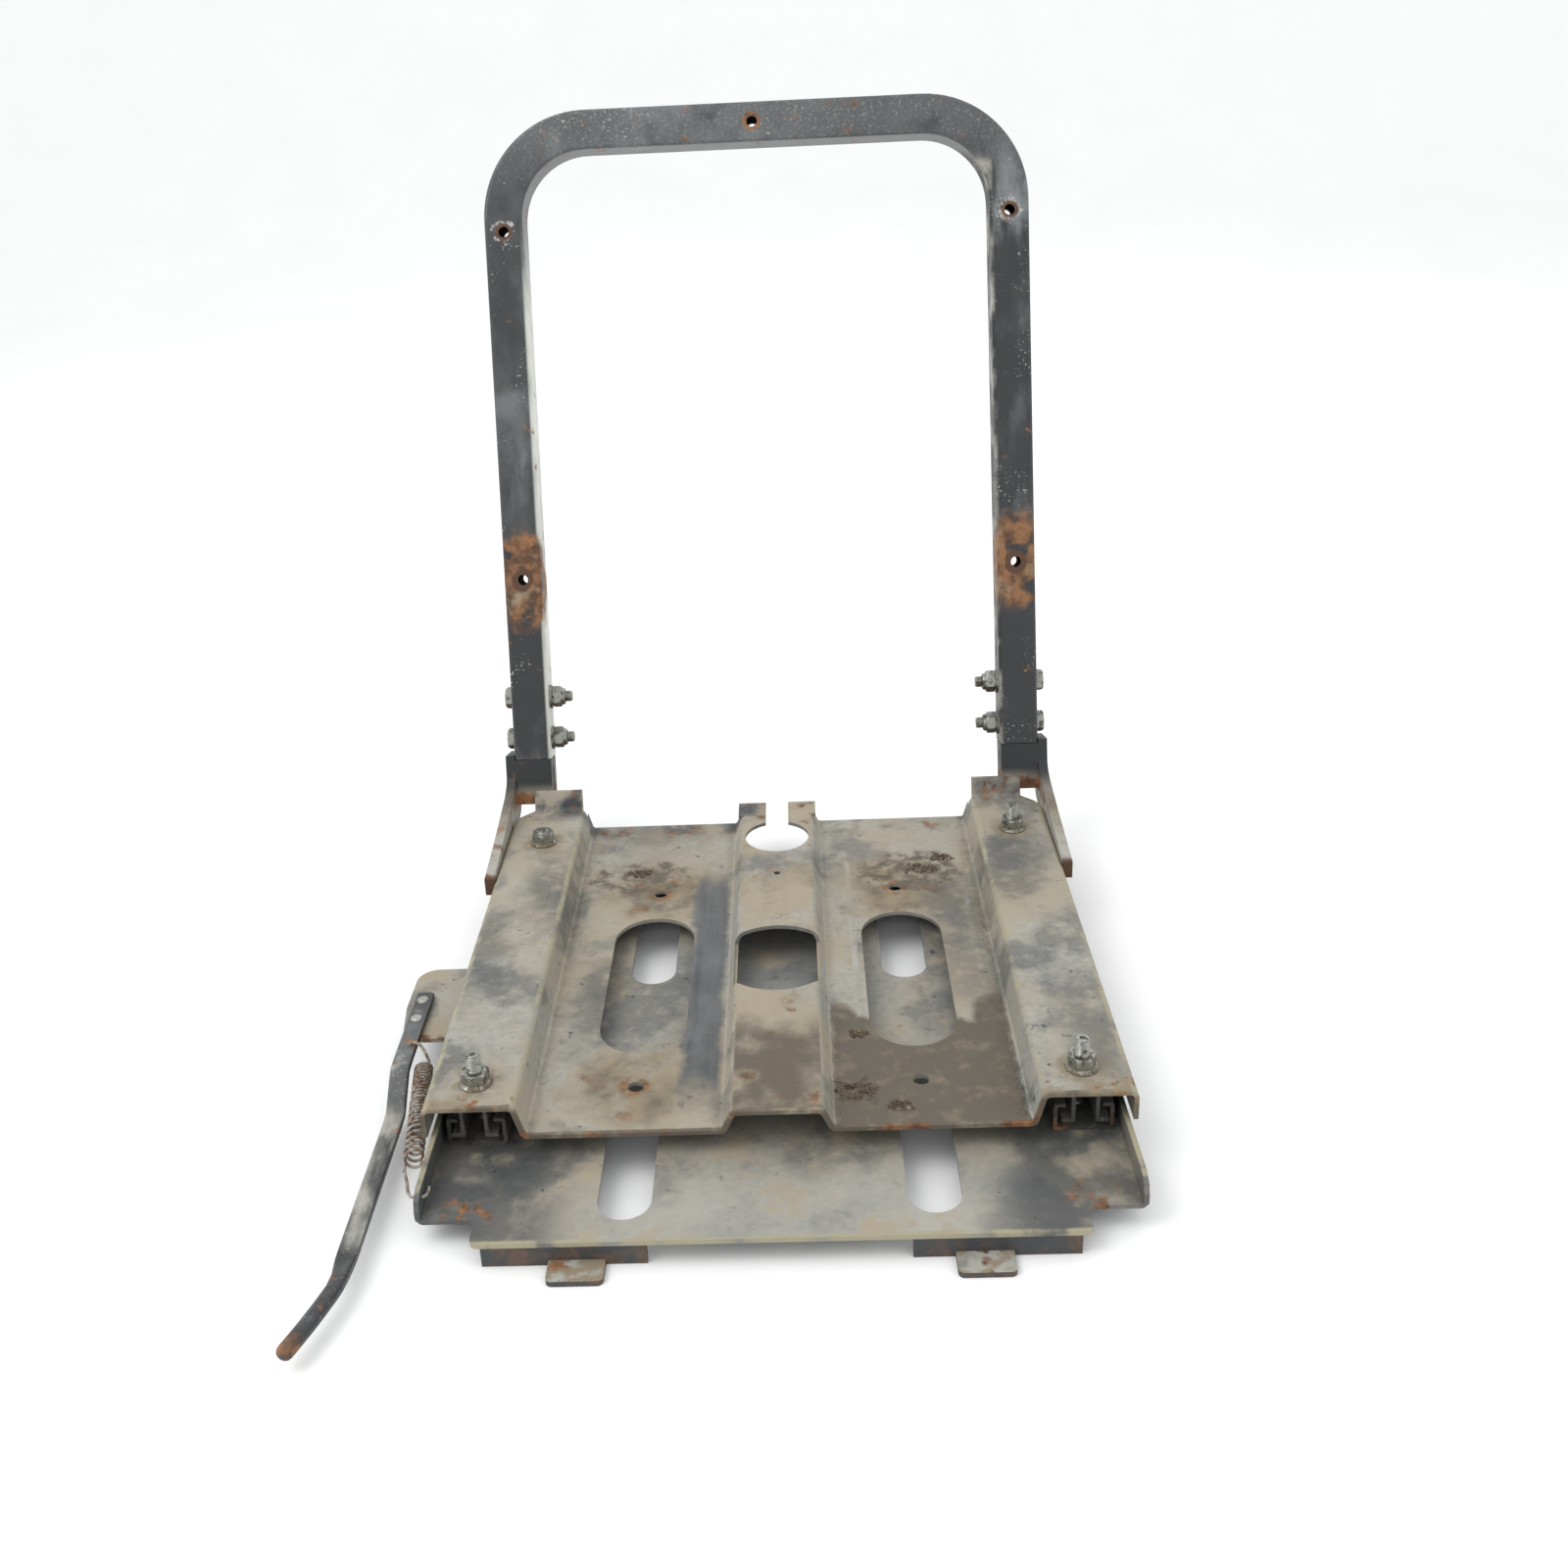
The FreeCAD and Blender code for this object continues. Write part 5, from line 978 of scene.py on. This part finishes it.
def grow(piece, tree_name, **inputs):
    """Run a geometry tree on a piece and keep the result as its own plain mesh."""
    tree = bpy.data.node_groups.get(tree_name) or TREE_BUILDERS[tree_name]()
    modifier = piece.modifiers.new(tree_name, "NODES")
    modifier.node_group = tree
    sockets = {item.name: item.identifier for item in tree.interface.items_tree if item.in_out == "INPUT"}
    for label, value in inputs.items():
        modifier[sockets[spaced(label)]] = value
    view = bpy.context.evaluated_depsgraph_get()
    made = bpy.data.meshes.new_from_object(piece.evaluated_get(view))
    piece.modifiers.remove(modifier)
    plain = piece.data
    made.name = piece.name
    piece.data = made
    bpy.data.meshes.remove(plain)
    return piece


def copies(name, shape, places, material):
    """One piece made of copies of a shape; each place is (point, turn)."""
    pattern = new_piece(f"{name}_pattern", *shape)
    points = [point for point, _ in places]
    piece = new_piece(name, points, [])
    turns = piece.data.attributes.new("turn", "FLOAT_VECTOR", "POINT")
    for number, (_, turn) in enumerate(places):
        turns.data[number].vector = turn
    grow(piece, "copies_at_points", Pattern=pattern, Finish=material)
    bpy.data.objects.remove(pattern)
    return piece


def joined(name, *pieces):
    """Several plain pieces as one."""
    points, faces = merged(*[
        ([tuple(vertex.co) for vertex in piece.data.vertices],
         [tuple(face.vertices) for face in piece.data.polygons]) for piece in pieces])
    for piece in pieces:
        bpy.data.objects.remove(piece)
    return new_piece(name, points, faces)


# ---- fasteners --------------------------------------------------------------------

def hoop_bolt_places():
    """Where the hoop bolts leave the tube's outside; each looks outboard."""
    middle = middle_of("hoop_bolts")
    half_gap = 14 * MM
    up = Vector((0, math.sin(HOOP_LEAN), math.cos(HOOP_LEAN)))
    places = []
    for side, spin in ((LEFT, 0.3), (RIGHT, 0.9)):
        for step in (-1, 1):
            point = middle + up * half_gap * step
            point.x = HOOP_OUTSIDE * side
            places.append((point, spin + 0.56 * step, side))
    return places


def laid_over(spin, side):
    """The turn that spins a fastener about its own axis and points that axis along X."""
    turn = Matrix.Rotation(math.pi / 2 * side, 3, "Y") @ Matrix.Rotation(spin, 3, "Z")
    return tuple(turn.to_euler())


def along_hoop(places, inward, more_spin, facing):
    """Places moved toward the seat's middle, with the turn that points them in or out."""
    moved = []
    for point, spin, side in places:
        step = Vector((inward * side, 0, 0))
        moved.append((tuple(point - step), laid_over(spin + more_spin, side * facing)))
    return moved


def bolt_shape(sizes):
    """Hexagon head with a washer face, plain shank, threaded inner end with a rounded tip."""
    flats, radius = sizes.hexagon, sizes.bolt
    end, threaded_length = -(TUBE + 15 * MM), 13 * MM
    face, head_height = 0.45 * MM, 5.2 * MM
    thread = threaded(radius, sizes.thread, sizes.pitch, 0, threaded_length)
    shank = [(radius_at, end + threaded_length - height) for radius_at, height in thread]
    tip = [(radius * 0.72, end)]
    head = [(radius, 0.02 * MM), (flats * 0.47, 0.02 * MM), (flats * 0.47, face)]
    head += hex_stations(flats, face, head_height)
    top = [(flats * 0.30, head_height - 0.2 * MM), (flats * 0.10, head_height - 0.25 * MM)]
    return turned(tip + shank[::-1] + [(radius, end + threaded_length + 1 * MM)] + head + top)


def nut_shape(sizes, height, flange=0, collar=0):
    """A hexagon nut with a bore: a flange under it or a lock collar on top where given."""
    flats, bore = sizes.hexagon, sizes.bolt - sizes.thread
    stations = [(bore, 0)]
    if flange:
        flange_top = 2.0 * MM
        stations += [(flange * 0.97, 0), (flange, 0.5 * MM), (flange * 0.985, 0.95 * MM),
                     (flats * 0.54, flange_top)]
        stations += hex_stations(flats, flange_top, height)
    else:
        stations += hex_stations(flats, 0, height, both_ends=True)
    if collar:
        stations += [(flats * 0.445, height), (flats * 0.445, height + collar * 0.55),
                     (flats * 0.42, height + collar * 0.85), (flats * 0.37, height + collar)]
    top = height + collar
    stations += [(bore + 1.0 * MM, top), (bore, top - 0.8 * MM)]
    return turned(stations, closed=True)


def washer_shape(outer, inner, thick):
    edge = 0.3 * MM
    return turned([(inner, 0), (outer, 0), (outer, thick - edge), (outer - edge, thick), (inner, thick)],
                  closed=True)


def stud_shape(sizes, above):
    """A stud from its square head up; above is its height over the hat."""
    radius, half_head = sizes.bolt, 4.7 * MM
    head_low, head_high = -8.3 * MM, -4.3 * MM
    quarter = math.pi / 2

    def square(angle):
        return half_head / math.cos((angle + quarter / 2) % quarter - quarter / 2)

    thread = threaded(radius, sizes.thread, sizes.pitch, 1 * MM, above)
    head = [(square, head_low), (square, head_high), (radius, head_high), (radius, 0.9 * MM)]
    hollow = [(radius - sizes.thread * 1.6, above + 0.3 * MM), (radius * 0.42, above + 0.3 * MM),
              (radius * 0.30, above - 1.2 * MM)]
    return turned(head + thread + hollow)


def dome_shape(head, shank, rise, low, reach):
    """A domed rivet head, its shank and a second head below."""
    dome = [(head * math.cos(turn), rise * math.sin(turn)) for turn in (0, 0.35, 0.7, 1.05, 1.35)]
    foot = [(head * 0.9 * math.cos(turn), low - reach * math.sin(turn)) for turn in (1.35, 0.8, 0.0)]
    return turned(foot + [(shank, low), (shank, 0)] + dome, segments=32)


# ---- lever ------------------------------------------------------------------------

def lever_stations(sizes):
    """Centre, half width, half thickness and squareness of the lever's section, rear to front."""
    low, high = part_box("lever_bar")
    wide, thick, round_bar = sizes.bar_width / 2, sizes.bar_thickness / 2, sizes.handle
    x = high.x - wide
    upper, lower = high.z - thick, low.z + round_bar
    flat = [(high.y, upper), (0.160, upper), (0.130, upper), (0.1205, upper - 0.0006),
            (0.1165, upper - 0.0030), (0.1045, lower + 0.0030), (0.1005, lower + 0.0006),
            (0.090, lower), (0.050, lower), (0.010, lower), (-0.001, lower)]
    stations = [((x, y, z), wide, thick, 7.0) for y, z in flat]
    stations[0] = ((x, high.y, upper), wide * 0.86, thick * 0.92, 4.0)
    stations.insert(1, ((x, high.y - 0.0012, upper), wide, thick, 7.0))
    forged = [(-0.006, 4.85, 2.35, 5.0), (-0.011, 4.45, 3.1, 3.4), (-0.016, 4.1, 3.75, 2.4)]
    stations += [((x, y, lower), w * MM, t * MM, square) for y, w, t, square in forged]
    reach = low.x + round_bar - x
    start, end = -0.020, low.y + round_bar * 0.3
    for part in (0.08, 0.2, 0.4, 0.6, 0.8, 0.93):
        bend = part - 0.05 * math.sin(part * math.pi)
        centre = (x + reach * bend, start + (end - start) * part, lower)
        stations.append((centre, round_bar, round_bar, 2.0))
    for part, shrink in ((0.97, 0.93), (0.99, 0.76), (1.0, 0.45)):
        centre = (x + reach * part, start + (end - start) * part, lower)
        stations.append((centre, round_bar * shrink, round_bar * shrink, 2.0))
    return stations


def lever_shape(sizes, segments=40):
    """Loft the lever's sections; each stands square to the lever's run."""
    stations = lever_stations(sizes)
    centres = [Vector(centre) for centre, *_ in stations]
    points = []
    for number, (centre, wide, thick, square) in enumerate(stations):
        before, after = centres[max(0, number - 1)], centres[min(len(centres) - 1, number + 1)]
        run = (after - before).normalized()
        aside = run.cross(Vector((0, 0, 1))).normalized()
        above = run.cross(aside)
        for step in range(segments):
            angle = 2 * math.pi * step / segments
            cosine, sine = math.cos(angle), math.sin(angle)
            out = math.copysign(abs(cosine) ** (2 / square), cosine) * wide
            up = math.copysign(abs(sine) ** (2 / square), sine) * thick
            points.append(tuple(Vector(centre) + aside * out + above * up))
    return points, ring_faces(len(stations), segments, closed=False)


def wire_piece(name, route, radius, resolution=6):
    """A round wire that follows the route in one smooth line."""
    curve = bpy.data.curves.new(name, "CURVE")
    curve.dimensions = "3D"
    curve.bevel_depth = radius
    curve.bevel_resolution = 3
    curve.use_fill_caps = True
    curve.resolution_u = resolution
    spline = curve.splines.new("NURBS")
    spline.points.add(len(route) - 1)
    for point, place in zip(spline.points, route):
        point.co = (*place, 1)
    spline.order_u = 3
    spline.use_endpoint_u = True
    drawn = bpy.data.objects.new(name, curve)
    bpy.context.scene.collection.objects.link(drawn)
    view = bpy.context.evaluated_depsgraph_get()
    mesh = bpy.data.meshes.new_from_object(drawn.evaluated_get(view))
    bpy.data.objects.remove(drawn)
    piece = bpy.data.objects.new(name, mesh)
    bpy.context.scene.collection.objects.link(piece)
    return piece


# ---- operators: one for each piece or group of like pieces -------------------------

class SEATFRAME_OT_paint_pan(bpy.types.Operator):
    """Dust, dried mud, damp mud and rust on the pressed seat pan"""
    bl_idname = "seat_frame.paint_pan"
    bl_label = "Finish Seat Pan"

    def execute(self, context):
        put_on(pan_finish(context.scene.seat_frame_colours), "seat_pan")
        return {"FINISHED"}


class SEATFRAME_OT_paint_base(bpy.types.Operator):
    """Dust film and worn edges on the base plate, rust on its tongues, feet and rails"""
    bl_idname = "seat_frame.paint_base"
    bl_label = "Finish Base and Rails"

    def execute(self, context):
        colours = context.scene.seat_frame_colours
        put_on(base_finish(colours), "base_plate")
        put_on(tongue_finish(colours), *pair("front_tongue"), *pair("rear_foot"))
        put_on(rail_finish(colours), *pair("lower_rail"), *pair("upper_rail"))
        steel = steel_finish(colours)
        put_on(steel, *pair("ball_cage"), "lever_pivot")
        put_on(steel_finish(colours, "polished_balls", 0.16), *pair("balls"))
        return {"FINISHED"}


class SEATFRAME_OT_paint_back(bpy.types.Operator):
    """Satin paint with rust patches on the backrest hoop and its brackets"""
    bl_idname = "seat_frame.paint_back"
    bl_label = "Finish Backrest"

    def execute(self, context):
        colours = context.scene.seat_frame_colours
        put_on(hoop_finish(colours), "back_hoop")
        put_on(bracket_finish(colours), *pair("gusset"), *pair("bracket_stub"), *pair("bracket_spigot"))
        return {"FINISHED"}


class SEATFRAME_OT_make_lever(bpy.types.Operator):
    """Forged lever: flat bar, step, round bent handle; with its latch plate and rivets"""
    bl_idname = "seat_frame.make_lever"
    bl_label = "Make Latch Lever"

    def execute(self, context):
        colours, sizes = context.scene.seat_frame_colours, context.scene.seat_frame_sizes
        put_on(latch_finish(colours), "latch_plate")
        bar = new_piece("lever_bar_forged", *lever_shape(sizes))
        finish_piece(bar, lever_finish(colours), "lever", "lever", "lever_bar")
        low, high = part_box("lever_rivets")
        top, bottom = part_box("lever_bar")[1].z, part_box("latch_plate")[0].z
        x, head = middle_of("lever_rivets").x, (high.x - low.x) / 2
        places = [((x, y, top), (0, 0, 0)) for y in (low.y + head, high.y - head)]
        steel = steel_finish(colours, "rivet_steel")
        shape = dome_shape(head, 2 * MM, high.z - top, bottom - top, bottom - low.z)
        rivets = copies("lever_rivets_domed", shape, places, steel)
        finish_piece(rivets, steel, "lever", "rivets", "lever_rivets")
        return {"FINISHED"}


class SEATFRAME_OT_make_spring(bpy.types.Operator):
    """Rusty extension spring wound of round wire, hooked to the lever and the base flange"""
    bl_idname = "seat_frame.make_spring"
    bl_label = "Make Lever Spring"

    def execute(self, context):
        sizes = context.scene.seat_frame_sizes
        rust = spring_finish(context.scene.seat_frame_colours)
        rear, front = Vector((-0.1920, 0.1310, 0.0184)), Vector((-0.1814, 0.0540, 0.0190))
        coil = self.make_coil(sizes, rear, front, rust)
        hooks = [wire_piece(f"spring_wire_{number}", route, sizes.wire)
                 for number, route in enumerate(self.hook_routes(rear, front))]
        for piece in (coil, joined("lever_spring_hooks", *hooks)):
            piece.data.materials.clear()
            piece.data.materials.append(rust)
            piece.data.shade_smooth()
            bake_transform(piece)
            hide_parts("lever_spring")
        return {"FINISHED"}

    def make_coil(self, sizes, rear, front, rust):
        run = front - rear
        turns = sizes.close_turns + sizes.open_turns
        close_length = run.length * 0.68
        points_per_turn = 22
        return grow(new_piece("lever_spring_coil", [], []), "wound_spring", Wire=sizes.wire,
                    Coil=sizes.coil, Turns=float(turns), Close_Share=sizes.close_turns / turns,
                    Close_Length=close_length, Open_Length=run.length - close_length, Start=rear,
                    Direction=run.normalized(), Points=turns * points_per_turn, Finish=rust)

    def hook_routes(self, rear, front):
        """The wire's path from the coil over the lever's bar, and from it through the base flange."""
        bar_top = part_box("lever_bar")[1].z
        over = bar_top + 1.5 * MM
        lever_hook = [rear + Vector((0, -0.0005, -0.0040)), rear + Vector((0.0040, 0.0012, 0.0010)),
                      rear + Vector((0.0015, 0.0030, 0.0075)), rear + Vector((-0.0015, 0.0065, 0.0112)),
                      Vector((-0.1975, 0.1388, over)), Vector((-0.2003, 0.1392, over - 0.0004)),
                      Vector((-0.2006, 0.1390, bar_top - 0.0030))]
        base_hook = [front + Vector((-0.0040, 0.0006, 0.0)), front + Vector((-0.0036, -0.0060, 0.0)),
                     Vector((-0.1812, 0.0390, 0.0198)), Vector((-0.1782, 0.0275, 0.0201)),
                     Vector((-0.1745, 0.0264, 0.0201)), Vector((-0.1700, 0.0270, 0.0200)),
                     Vector((-0.1685, 0.0300, 0.0203)), Vector((-0.1690, 0.0325, 0.0212))]
        return lever_hook, base_hook


class SEATFRAME_OT_make_fasteners(bpy.types.Operator):
    """Threaded bolts, lock nuts, washers, studs and flanged nuts, and the rail rivets"""
    bl_idname = "seat_frame.make_fasteners"
    bl_label = "Make Fasteners"

    def execute(self, context):
        colours, sizes = context.scene.seat_frame_colours, context.scene.seat_frame_sizes
        zinc = zinc_finish(colours)
        outside = hoop_bolt_places()
        bolts = copies("hoop_bolts_threaded", bolt_shape(sizes), along_hoop(outside, 0, 0, OUTWARD), zinc)
        finish_piece(bolts, zinc, "seat", "zinc", "hoop_bolts")
        on_tube = along_hoop(outside, TUBE, 0, INWARD)
        washers = copies("hoop_washers_turned", washer_shape(8 * MM, 4.2 * MM, WASHER), on_tube, zinc)
        finish_piece(washers, zinc, "seat", "zinc", "hoop_washers")
        on_washer = along_hoop(outside, TUBE + WASHER, 0.5, INWARD)
        nuts = copies("hoop_nuts_locking", nut_shape(sizes, 6.6 * MM, collar=2.2 * MM), on_washer, zinc)
        finish_piece(nuts, zinc, "seat", "zinc", "hoop_nuts")
        self.make_rail_fasteners(sizes, zinc)
        self.make_rail_rivets(colours)
        return {"FINISHED"}

    def make_rail_fasteners(self, sizes, zinc):
        """Studs and flanged nuts on the hats; the left rear stud is the short one."""
        places = [((RAIL_MID * side, y, HAT_TOP), (0, 0, 0.5 + side * 0.4 + y * 9))
                  for side in (LEFT, RIGHT) for y in (STUD_FRONT, STUD_REAR)]
        short = places[1]
        tall = [place for place in places if place is not short]
        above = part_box("rail_studs")[1].z - HAT_TOP
        studs = joined("rail_studs_threaded",
                       copies("tall_studs", stud_shape(sizes, above - 0.4 * MM), tall, zinc),
                       copies("short_stud", stud_shape(sizes, 9.4 * MM), [short], zinc))
        finish_piece(studs, zinc, "seat", "zinc", "rail_studs")
        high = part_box("rail_nuts")[1].z - HAT_TOP
        nuts = copies("rail_nuts_flanged", nut_shape(sizes, high, flange=NUT_FLANGE), places, zinc)
        finish_piece(nuts, zinc, "seat", "zinc", "rail_nuts")

    def make_rail_rivets(self, colours):
        """Three rivets hold each lower rail to the base plate."""
        steel = steel_finish(colours, "rail_rivet_steel")
        head, shank, rise, inset = 4 * MM, 2.5 * MM, 1.8 * MM, 22 * MM
        low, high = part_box("rail_rivets")
        rail_front, rail_rear = (corner.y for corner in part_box("lower_rail_left"))
        rows = (rail_front + inset, rail_front + 110 * MM, rail_rear - inset)
        plate_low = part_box("base_plate")[0].z
        seat = high.z - rise
        places = [((RAIL_MID * side, y, seat), (0, 0, 0)) for side in (LEFT, RIGHT) for y in rows]
        shape = dome_shape(head, shank, rise, plate_low - seat, plate_low - low.z)
        rivets = copies("rail_rivets_domed", shape, places, steel)
        finish_piece(rivets, steel, "base", "rivets", "rail_rivets")


class SEATFRAME_OT_make_crumbs(bpy.types.Operator):
    """Small heaps of soil crumbs and dry stalks that lie on the pan"""
    bl_idname = "seat_frame.make_crumbs"
    bl_label = "Make Soil Crumbs"

    def execute(self, context):
        colours, sizes = context.scene.seat_frame_colours, context.scene.seat_frame_sizes
        soil = soil_finish(colours)
        level = FIELD_TOP + 0.2 * MM
        lump = self.lump(0.9 * MM)
        pieces = [self.make_heap(number, heap, level, sizes.crumbs, lump, soil)
                  for number, heap in enumerate(SOIL_HEAPS)]
        pieces += [self.make_stalk(number, stalk, level) for number, stalk in enumerate(SOIL_STALKS)]
        bpy.data.objects.remove(lump)
        finish_piece(joined("soil_crumbs", *pieces), soil, "seat", "pan")
        return {"FINISHED"}

    def make_heap(self, number, heap, level, crumbs, lump, soil):
        """Crumbs scattered over an uneven outline."""
        x, y, radius = (value * MM for value in heap)
        corners = 14
        ring = [(x + radius * (1 + 0.3 * math.sin(3 * turn + number)) * math.cos(turn),
                 y + radius * (0.8 + 0.2 * math.cos(2 * turn)) * math.sin(turn), level)
                for turn in (math.tau * step / corners for step in range(corners))]
        ground = new_piece(f"heap_{number}", ring, [tuple(range(corners))])
        density = crumbs / (math.pi * radius * radius * 0.8)
        return grow(ground, "scattered_crumbs", Amount=density, Smallest=0.25, Largest=1.3,
                    Crumb=lump, Seed=number + 3, Finish=soil)

    def make_stalk(self, number, stalk, level):
        """A thin dry stalk, bowed up a little."""
        x, y, turn, long = stalk
        along = Vector((math.cos(turn), math.sin(turn), 0)) * long * MM / 2
        middle = Vector((x * MM, y * MM, level + 1.1 * MM))
        arch = Vector((0, 0, 0.9 * MM))
        route = [middle - along, middle - along * 0.3 + arch, middle + along * 0.4 + arch * 0.6,
                 middle + along]
        return wire_piece(f"stalk_{number}", route, 0.35 * MM, resolution=4)

    def lump(self, radius):
        """An uneven little stone to scatter."""
        stations = [(radius * wide, radius * up) for wide, up in
                    ((0.35, -0.7), (0.9, -0.35), (1.0, 0.1), (0.6, 0.55), (0.2, 0.75))]
        points, faces = turned(stations, segments=6)
        uneven = [(x * (1 + 0.25 * math.sin(7 * z / radius + 1)), y * 0.8, z) for x, y, z in points]
        return new_piece("crumb_pattern", uneven, faces)


class SEATFRAME_OT_make_stage(bpy.types.Operator):
    """Pale floor, soft lights and the camera"""
    bl_idname = "seat_frame.make_stage"
    bl_label = "Make Stage"

    def execute(self, context):
        floor = new_piece("floor", *self.backdrop(CAD_BOX[0].z, size=6.0, bend=2.6, radius=1.8))
        floor.data.materials.append(floor_finish())
        floor.data.shade_smooth()
        self.light_room(context)
        self.place_camera(context)
        return {"FINISHED"}

    def backdrop(self, ground, size, bend, radius):
        """A floor that curves up into a wall behind the seat."""
        steps = 24
        line = [(-size, ground)]
        for step in range(steps + 1):
            turn = math.pi / 2 * step / steps
            line.append((bend + radius * math.sin(turn), ground + radius * (1 - math.cos(turn))))
        line.append((bend + radius, ground + size))
        points = [(x, y, z) for y, z in line for x in (-size, size)]
        faces = [(row * 2, row * 2 + 1, row * 2 + 3, row * 2 + 2) for row in range(len(line) - 1)]
        return points, faces

    def light_room(self, context):
        """Even white surroundings and three soft lamps."""
        world = bpy.data.worlds.new("studio")
        context.scene.world = world
        context.scene.view_settings.view_transform = "Standard"
        world.use_nodes = True
        background = world.node_tree.nodes["Background"]
        background.inputs["Color"].default_value = (0.97, 0.985, 1.0, 1)
        background.inputs["Strength"].default_value = 1.0
        aim = Vector((0, 0.2, 0.1))
        for name, place, size, power in (
                ("key", (-1.1, -0.3, 1.6), 1.2, 14), ("fill", (1.6, -0.6, 1.0), 1.6, 4),
                ("back", (0.4, 2.2, 1.6), 1.8, 7)):
            lamp = bpy.data.lights.new(name, "AREA")
            lamp.size = size
            lamp.energy = power
            item = bpy.data.objects.new(name, lamp)
            item.location = place
            item.rotation_euler = (aim - Vector(place)).to_track_quat("-Z", "Y").to_euler()
            context.scene.collection.objects.link(item)

    def place_camera(self, context):
        """A camera a little above and ahead, turned slightly and rolled as it was held."""
        lens = bpy.data.cameras.new("camera")
        lens.lens = 36.68
        lens.shift_x, lens.shift_y = 0.0258, -0.0625
        lens.clip_start, lens.clip_end = 0.01, 50
        place = Matrix.Translation((0.0183, -0.5826, 0.5344))
        turn = Matrix.Rotation(math.radians(2.177), 4, "Z")
        tip = Matrix.Rotation(math.radians(90 - 22.66), 4, "X")
        roll = Matrix.Rotation(math.radians(-2.837), 4, "Z")
        camera = bpy.data.objects.new("camera", lens)
        camera.matrix_world = place @ turn @ tip @ roll
        context.scene.collection.objects.link(camera)
        context.scene.camera = camera


STEPS = (
    SEATFRAME_OT_paint_pan, SEATFRAME_OT_paint_base, SEATFRAME_OT_paint_back, SEATFRAME_OT_make_lever,
    SEATFRAME_OT_make_spring, SEATFRAME_OT_make_fasteners, SEATFRAME_OT_make_crumbs,
    SEATFRAME_OT_make_stage,
)


class SEATFRAME_PT_panel(bpy.types.Panel):
    """Settings and steps of the seat frame"""
    bl_idname = "SEATFRAME_PT_panel"
    bl_label = "Seat Frame"
    bl_space_type = "VIEW_3D"
    bl_region_type = "UI"
    bl_category = "Seat Frame"

    def draw(self, context):
        for group in (context.scene.seat_frame_colours, context.scene.seat_frame_sizes):
            column = self.layout.column(align=True)
            for name in group.bl_rna.properties.keys():
                if name not in ("rna_type", "name"):
                    column.prop(group, name)
        for step in STEPS:
            self.layout.operator(step.bl_idname)


CLASSES = (SeatFrameColours, SeatFrameSizes, *STEPS, SEATFRAME_PT_panel)


def register():
    for item in CLASSES:
        bpy.utils.register_class(item)
    bpy.types.Scene.seat_frame_colours = PointerProperty(type=SeatFrameColours)
    bpy.types.Scene.seat_frame_sizes = PointerProperty(type=SeatFrameSizes)


def unregister():
    del bpy.types.Scene.seat_frame_sizes
    del bpy.types.Scene.seat_frame_colours
    for item in reversed(CLASSES):
        bpy.utils.unregister_class(item)


def main():
    register()
    for step in STEPS:
        group, name = step.bl_idname.split(".")
        getattr(getattr(bpy.ops, group), name)()


if __name__ == "__main__":
    main()
